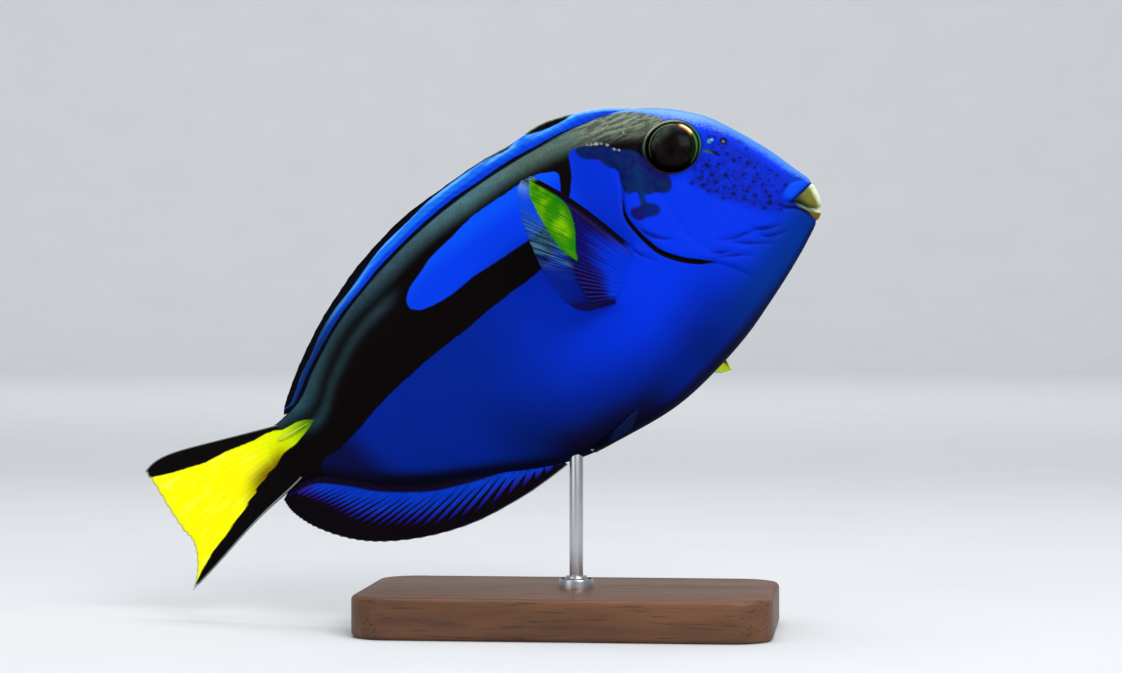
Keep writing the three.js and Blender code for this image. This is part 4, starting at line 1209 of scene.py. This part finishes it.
def pectoral_paint(name, painted_backlight=0.0):
    finish = fin_start(name)
    along = finish.number("along")
    reach = finish.number("reach")
    ray = finish.number("ray")
    comb = finish.number("comb")
    lead = finish.number("lead_mm")
    long = finish.streaks(ray * 2.6, reach * 1.8)
    hair = finish.streaks(ray * 5.5, reach * 2.4)
    patch = finish.number("patch_edge") + (long - 0.5) * 0.7
    outer = (reach + along * 0.06).between(0.6, 0.7)

    edge = (lead + long * 0.5).between(2.1, 1.4) * reach.between(0.05, 0.14) * reach.between(0.99, 0.92)
    shade = lead.between(6, 2) * reach.between(0.1, 0.3)
    body = finish.mix((0, 46, 200), (10, 4, 84), (reach + (long - 0.5) * 0.5).between(0.14, 0.46))
    body.lay((24, 24, 140), hair.between(0.52, 0.68) * reach.between(0.2, 0.4) * 0.6)
    teeth = along.between(0.5, 0.72) * reach.between(0.16, 0.34) * reach.between(0.74, 0.55)
    double = comb * 2 - 1
    bars = finish.mix((4, 2, 34), (34, 26, 116), (double * double + (hair - 0.5) * 0.5).between(0.5, 0.9))
    body.lay(bars, teeth * 0.85)
    veil = finish.mix((14, 64, 92), (4, 26, 112), along.between(0.5, 0.72))
    veil.lay((6, 10, 78), (along + (1 - reach) * 0.3).between(0.78, 1.0))
    veil.lay((12, 80, 206), along.between(0.44, 0.28) * 0.85)
    silver = hair.between(0.44, 0.62) * along.between(0.28, 0.46) * along.between(0.78, 0.6)
    veil.lay((84, 132, 152), silver * 0.7)
    colour = finish.mix(body, veil, outer)
    corner = (along + (long - 0.5) * 0.1).between(0.84, 0.97)
    colour.lay((8, 2, 48), corner * 0.85)

    lumps = finish.noise(5, 1)
    bright = (hair * 0.55 + long * 0.4 + lumps * 0.8).between(0.74, 1.06)
    green = finish.mix((36, 126, 0), (132, 190, 0), bright)
    green.lay((18, 118, 0), (patch + hair).between(-2.6, 0.3) * reach.between(0.95, 0.7) * 0.9)
    # Painted backlight: where the fin is lit from behind, the outer part of the lime patch is painted
    # bright.
    green.lay((236, 255, 40), reach.between(0.6, 0.85) * painted_backlight)
    dark = patch.between(1, 0.2) * outer.between(0.6, 0.2)
    colour.lay((6, 10, 30), dark * 0.7)
    inside = patch.between(0.3, -0.3)
    colour.lay(green, inside)
    tip = along.between(0.24, 0.02) * reach.between(0.84, 0.98) * (1 - inside)
    colour.lay((140, 196, 240), tip * 0.8)
    colour.lay((20, 5, 60), shade * (1 - inside) * 0.85)
    rail = lead.between(2.9, 2.5) * lead.between(1.9, 2.3) * (1 - inside)
    colour.lay((52, 30, 60), rail * 0.5)
    colour.lay((6, 3, 7), edge)
    finish.set("Base Color", colour)
    clear = outer * (1 - inside) * (1 - corner) * (1 - edge) * (1 - shade)
    finish.set("Alpha", 1 - clear * (0.68 - 0.4 * silver - 0.3 * tip))
    finish.bump(long, 0.03)
    return finish


def pelvic_paint():
    finish = fin_start("pelvic_paint")
    reach = finish.number("reach")
    comb = finish.number("comb")
    colour = finish.mix((5, 5, 14), (10, 44, 110), comb.between(0.5, 0.9) * reach.between(0.75, 0.5) * 0.7)
    colour.lay((2, 24, 90), reach.between(0.25, 0.0))
    finish.set("Base Color", finish.mix(colour, (150, 160, 150), reach.between(0.97, 0.99)))
    finish.bump(finish.noise(0.5, 2), 0.03)
    return finish


coat(dorsal, dorsal_paint())
coat(anal, anal_paint())
coat(caudal, caudal_paint())
coat(right_pectoral, pectoral_paint("pectoral_paint"))
# The left fin's lime patch gets painted backlight.
coat(left_pectoral, pectoral_paint("pectoral_paint_left", 0.9))
pelvic_finish = pelvic_paint()
coat(right_pelvic, pelvic_finish)
coat(left_pelvic, pelvic_finish)

# %% [markdown]
# An eye is a flattened ball set in its socket. It is black from edge to edge, with a thin gold-green ring
# just inside the rim, a painted reflection in its upper part, and a clear wet coat over all.

# %% Eyes


def eye(name, side):
    piece, x, y, z = start_ball(name, segments=72, rings=48)
    centre = float(flank_at(EYE_BACK, EYE_UP)) + EYE_BULGE - EYE_DEPTH
    out = np.sign(z) * np.abs(z) ** 0.9 * EYE_DEPTH
    move_points(piece, posed(EYE_BACK + x * EYE_RADIUS, side * (centre + out), EYE_UP + y * EYE_RADIUS))
    keep_numbers(piece, {"from_axis": np.hypot(x, y) * EYE_RADIUS, "frontward": -x, "upward": y})
    edit(piece)
    close(piece)
    belongs(piece, "eye", name.replace("_ball", ""))
    return piece


def eye_paint():
    coating = {"Coat Weight": 0.1, "Coat Roughness": 0.14, "Coat IOR": 1.33}
    finish = Finish("eye_paint", {"Roughness": 0.4, "Specular IOR Level": 0.04, **coating})
    away = finish.number("from_axis")
    front = finish.number("frontward")
    top = finish.number("upward")
    cloud = finish.noise(1.8, 3)
    iris = finish.mix((4, 1, 1), (12, 8, 6), cloud.between(0.4, 0.7))
    # Painted reflection: a dim grey-green sheen in the upper part of the eye.
    sheen = (top - front * 0.25).between(0.3, 0.85) * away.between(6.7, 5.2) * cloud.between(0.25, 0.65)
    iris.lay((70, 84, 76), sheen * 0.8)
    thin = away.between(6.35, 6.55) * away.between(6.95, 6.75) * (top - front * 0.5).between(0.3, 0.7)
    iris.lay((96, 106, 62), thin * 0.8)
    slope = front - top
    cream = slope.between(0.85, 0.6) * slope.between(-0.15, 0.15) * (front + top).between(0.6, 0.9)
    green = top.between(0.3, 0.1) * front.between(0.3, 0.55)
    iris.lay((10, 32, 12), away.between(5.6, 6.6) * green * 0.8)
    iris.lay((70, 112, 60), away.between(6.85, 7.0) * green)
    iris.lay((180, 92, 20), away.between(6.0, 6.5) * cream * 0.8)
    iris.lay((232, 226, 172), away.between(6.6, 6.85) * cream)
    finish.set("Base Color", iris)
    return finish


eye_finish = eye_paint()
for name, side in (("eye_right_ball", -1), ("eye_left_ball", 1)):
    coat(eye(name, side), eye_finish)

# %% [markdown]
# The tail spine, a surgeonfish's blade, lies folded forward in a groove on each side of the stalk. It is
# a ball drawn out to a point at its front end.

# %% Tail spines


def tail_spine(name, side):
    piece, x, y, z = start_ball(name, segments=24, rings=32)
    spine = TAIL_SPINE
    along = z * spine["length"] / 2
    slim = 1 - 0.45 * ramp(-z, 0, 1)
    out = y * spine["width"] / 2 * slim
    base = float(flank_at(spine["back"], spine["up"])) + 0.25
    left = side * (base + out + spine["lean"] * along)
    up = spine["up"] + x * spine["height"] / 2 * slim
    move_points(piece, posed(spine["back"] + along, left, up))
    keep_numbers(piece, {"along": z, "ridge": np.abs(x + 0.3)})
    edit(piece)
    close(piece)
    belongs(piece, "tail_spine", name.replace("_blade", ""))
    return piece


def spine_paint():
    finish = Finish("spine_paint", {"Specular IOR Level": 0.15, "Roughness": 0.4})
    grain = finish.noise(1.2, 3)
    horn = finish.mix((72, 130, 2), (206, 228, 12), finish.number("along").between(-0.9, 0.7))
    # Painted highlight: a pale line along the spine's ridge.
    ridge = finish.number("ridge").between(0.3, 0.08)
    finish.set("Base Color", finish.mix(horn, (214, 230, 100), ridge * (0.3 + 0.5 * grain)))
    finish.bump(grain, 0.03)
    return finish


spine_finish = spine_paint()
for name, side in (("tail_spine_right_blade", -1), ("tail_spine_left_blade", 1)):
    coat(tail_spine(name, side), spine_finish)

# %% [markdown]
# The stand is plain shop work: a walnut block with rounded corners and a softened edge, a brushed steel
# rod, and a small steel ferrule where the rod enters the wood.

# %% Stand
BASE_CORNER = 12
BASE_BEVEL = 1.5
ROD_IN_SKIN = 3
ROD_BEVEL = 0.3
FERRULE_RADIUS = 5
FERRULE_HEIGHT = 3.5
FERRULE_STEP = 1.9
FERRULE_BEVEL = 0.45
SMOOTH_BELOW = math.radians(35)
TOUCHING = 1e-5


def start_part(name):
    """The part of the stand that was added last, with its size applied and open in edit mode."""
    piece = bpy.context.object
    piece.name = name
    bpy.ops.object.transform_apply(location=True, rotation=True, scale=True)
    edit(piece, "EDGE")
    return piece


def start_bar(name, radius, bottom, top):
    """An upright cylinder on the rod's line."""
    middle = ((rod_low.x + rod_high.x) / 2, (rod_low.y + rod_high.y) / 2, (top + bottom) / 2)
    bpy.ops.mesh.primitive_cylinder_add(vertices=64, radius=radius * MM, depth=top - bottom, location=middle)
    return start_part(name)


def soften(piece, width, segments, chosen):
    """Rounds the edges whose middle and direction pass a test."""
    bpy.ops.mesh.select_all(action="DESELECT")
    bpy.ops.object.mode_set(mode="OBJECT")
    for edge in piece.data.edges:
        a, b = (piece.data.vertices[i].co for i in edge.vertices)
        edge.select = chosen((a + b) / 2, (b - a).normalized())
    bpy.ops.object.mode_set(mode="EDIT")
    bpy.ops.mesh.bevel(offset=width * MM, segments=segments, affect="EDGES")


def end_part(piece, slot, node):
    bpy.ops.object.mode_set(mode="OBJECT")
    bpy.ops.object.shade_smooth_by_angle(angle=SMOOTH_BELOW)
    belongs(piece, slot, node)
    return piece


def stand_block():
    low, high = (Vector(corner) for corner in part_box("stand_base"))
    bpy.ops.mesh.primitive_cube_add(size=1, location=(low + high) / 2, scale=high - low)
    piece = start_part("stand_block")

    def on_rim(middle, way):
        return abs(way.z) < 0.1 and min(abs(middle.z - low.z), abs(middle.z - high.z)) < TOUCHING

    soften(piece, BASE_CORNER, 14, lambda middle, way: abs(way.z) > 0.9)
    soften(piece, BASE_BEVEL, 5, on_rim)
    return end_part(piece, "stand_wood", "stand_base"), high.z


def stand_post():
    top = nose.z + rod_foot.z * MM + ROD_IN_SKIN * MM
    piece = start_bar("stand_post", ROD_RADIUS, rod_low.z, top)
    soften(piece, ROD_BEVEL, 3, lambda middle, way: abs(way.z) < 0.1)
    return end_part(piece, "stand_steel", "stand_rod")


def stand_collar(table):
    step = table + 0.8 * FERRULE_HEIGHT * MM
    piece = start_bar("stand_collar", FERRULE_RADIUS, table, step)
    bpy.ops.mesh.select_mode(type="FACE")
    bpy.ops.object.mode_set(mode="OBJECT")
    for face in piece.data.polygons:
        face.select = face.normal.z > 0.9
    bpy.ops.object.mode_set(mode="EDIT")
    bpy.ops.mesh.inset(thickness=FERRULE_STEP * MM)
    bpy.ops.mesh.extrude_region_move(TRANSFORM_OT_translate={"value": (0, 0, 0.25 * FERRULE_HEIGHT * MM)})
    bpy.ops.mesh.select_mode(type="EDGE")
    soften(piece, FERRULE_BEVEL, 4, lambda middle, way: abs(way.z) < 0.1 and middle.z > step - TOUCHING)
    return end_part(piece, "stand_steel", "stand_ferrule")


def walnut():
    finish = Finish("walnut", {"Specular IOR Level": 0.3, "Coat Weight": 0.1, "Coat Roughness": 0.3})
    stretch = finish.place((0.1, 1, 0.5))
    figure = finish.noise(14, 4, 0.55, stretch)
    fine = finish.noise(2.4, 3, 0.6, stretch)
    pores = finish.noise(0.8, 2, 0.5, finish.place((0.06, 1, 1)))
    grain = (figure * 0.7 + fine * 0.3).between(0.32, 0.68)
    colour = finish.mix((74, 45, 28), (112, 73, 46), grain)
    colour.lay((46, 27, 17), pores.between(0.56, 0.7) * 0.6)
    finish.set("Base Color", colour)
    finish.set("Roughness", 0.4 + 0.25 * pores)
    finish.bump(1 - pores.between(0.55, 0.7), 0.05)
    return finish


def brushed_steel():
    finish = Finish("brushed_steel", {"Metallic": 1.0, "Base Color": paint(196, 198, 202)})
    lines = finish.noise(0.25, 3, 0.6, finish.place((1, 1, 0.02)))
    finish.set("Roughness", 0.2 + 0.22 * lines)
    finish.bump(lines, 0.01)
    return finish


block, block_top = stand_block()
coat(block, walnut())
steel = brushed_steel()
coat(stand_post(), steel)
coat(stand_collar(block_top), steel)

# %% [markdown]
# The studio is a wide round dish of pale paper: a flat floor that curves up into a low wall, so that no
# corner shows behind the fish from any side. A broad soft key light comes from above and in front, as in
# the photograph, where the head is brightest and the belly is almost black.

# %% Studio
FLOOR_RADIUS = 2.6
DISH_CURVE = 0.9
DISH_WALL = 1.2


def studio_dish():
    piece, around, out = start_grid("studio_dish", 96, 40)
    arc = DISH_CURVE * math.pi / 2
    reach = out * (FLOOR_RADIUS + arc + DISH_WALL)
    turn = np.clip((reach - FLOOR_RADIUS) / DISH_CURVE, 0, math.pi / 2)
    beyond = np.maximum(reach - FLOOR_RADIUS - arc, 0)
    radius = np.minimum(reach, FLOOR_RADIUS) + DISH_CURVE * np.sin(turn)
    high = DISH_CURVE * (1 - np.cos(turn)) + beyond
    angle = around * 2 * math.pi
    move_points(piece, np.stack([radius * np.cos(angle), radius * np.sin(angle), high], -1))
    edit(piece)
    bpy.ops.mesh.select_all(action="SELECT")
    bpy.ops.mesh.remove_doubles(threshold=0.0001)
    close(piece, inside=True)
    finish = Finish("studio_paper", {"Roughness": 0.9, "Specular IOR Level": 0.1})
    finish.set("Base Color", finish.mix((208, 210, 212), (214, 216, 218), finish.noise(60, 2)))
    coat(piece, finish)


def soft_light(name, place, target, size, power, colour=(1, 1, 1)):
    bpy.ops.object.light_add(type="AREA", location=place)
    light = bpy.context.object
    light.name = name
    light.rotation_euler = (Vector(target) - Vector(place)).to_track_quat("-Z", "Y").to_euler()
    light.data.shape = "RECTANGLE"
    light.data.size, light.data.size_y = size
    light.data.energy = power
    light.data.color = colour
    light.visible_camera = False


studio_dish()
FISH = (0.03, 0, 0.11)
soft_light("key", (0.7, -1.1, 0.9), FISH, (0.9, 0.7), 14.5)
soft_light("top", (0.1, 0.1, 1.3), FISH, (1.2, 0.8), 12.5)
soft_light("fill", (-0.9, -0.9, 0.5), FISH, (0.8, 0.8), 3)
soft_light("backdrop", (-0.2, 1.3, 1.5), (-0.2, 3.4, 0.7), (2.4, 0.8), 26)

world = bpy.data.worlds.new("studio_air")
bpy.context.scene.world = world
world.use_nodes = True
world.node_tree.nodes["Background"].inputs["Color"].default_value = (0.9, 0.94, 1, 1)
world.node_tree.nodes["Background"].inputs["Strength"].default_value = 0.46
bpy.context.scene.view_settings.view_transform = "Standard"
bpy.context.scene.view_settings.look = "None"
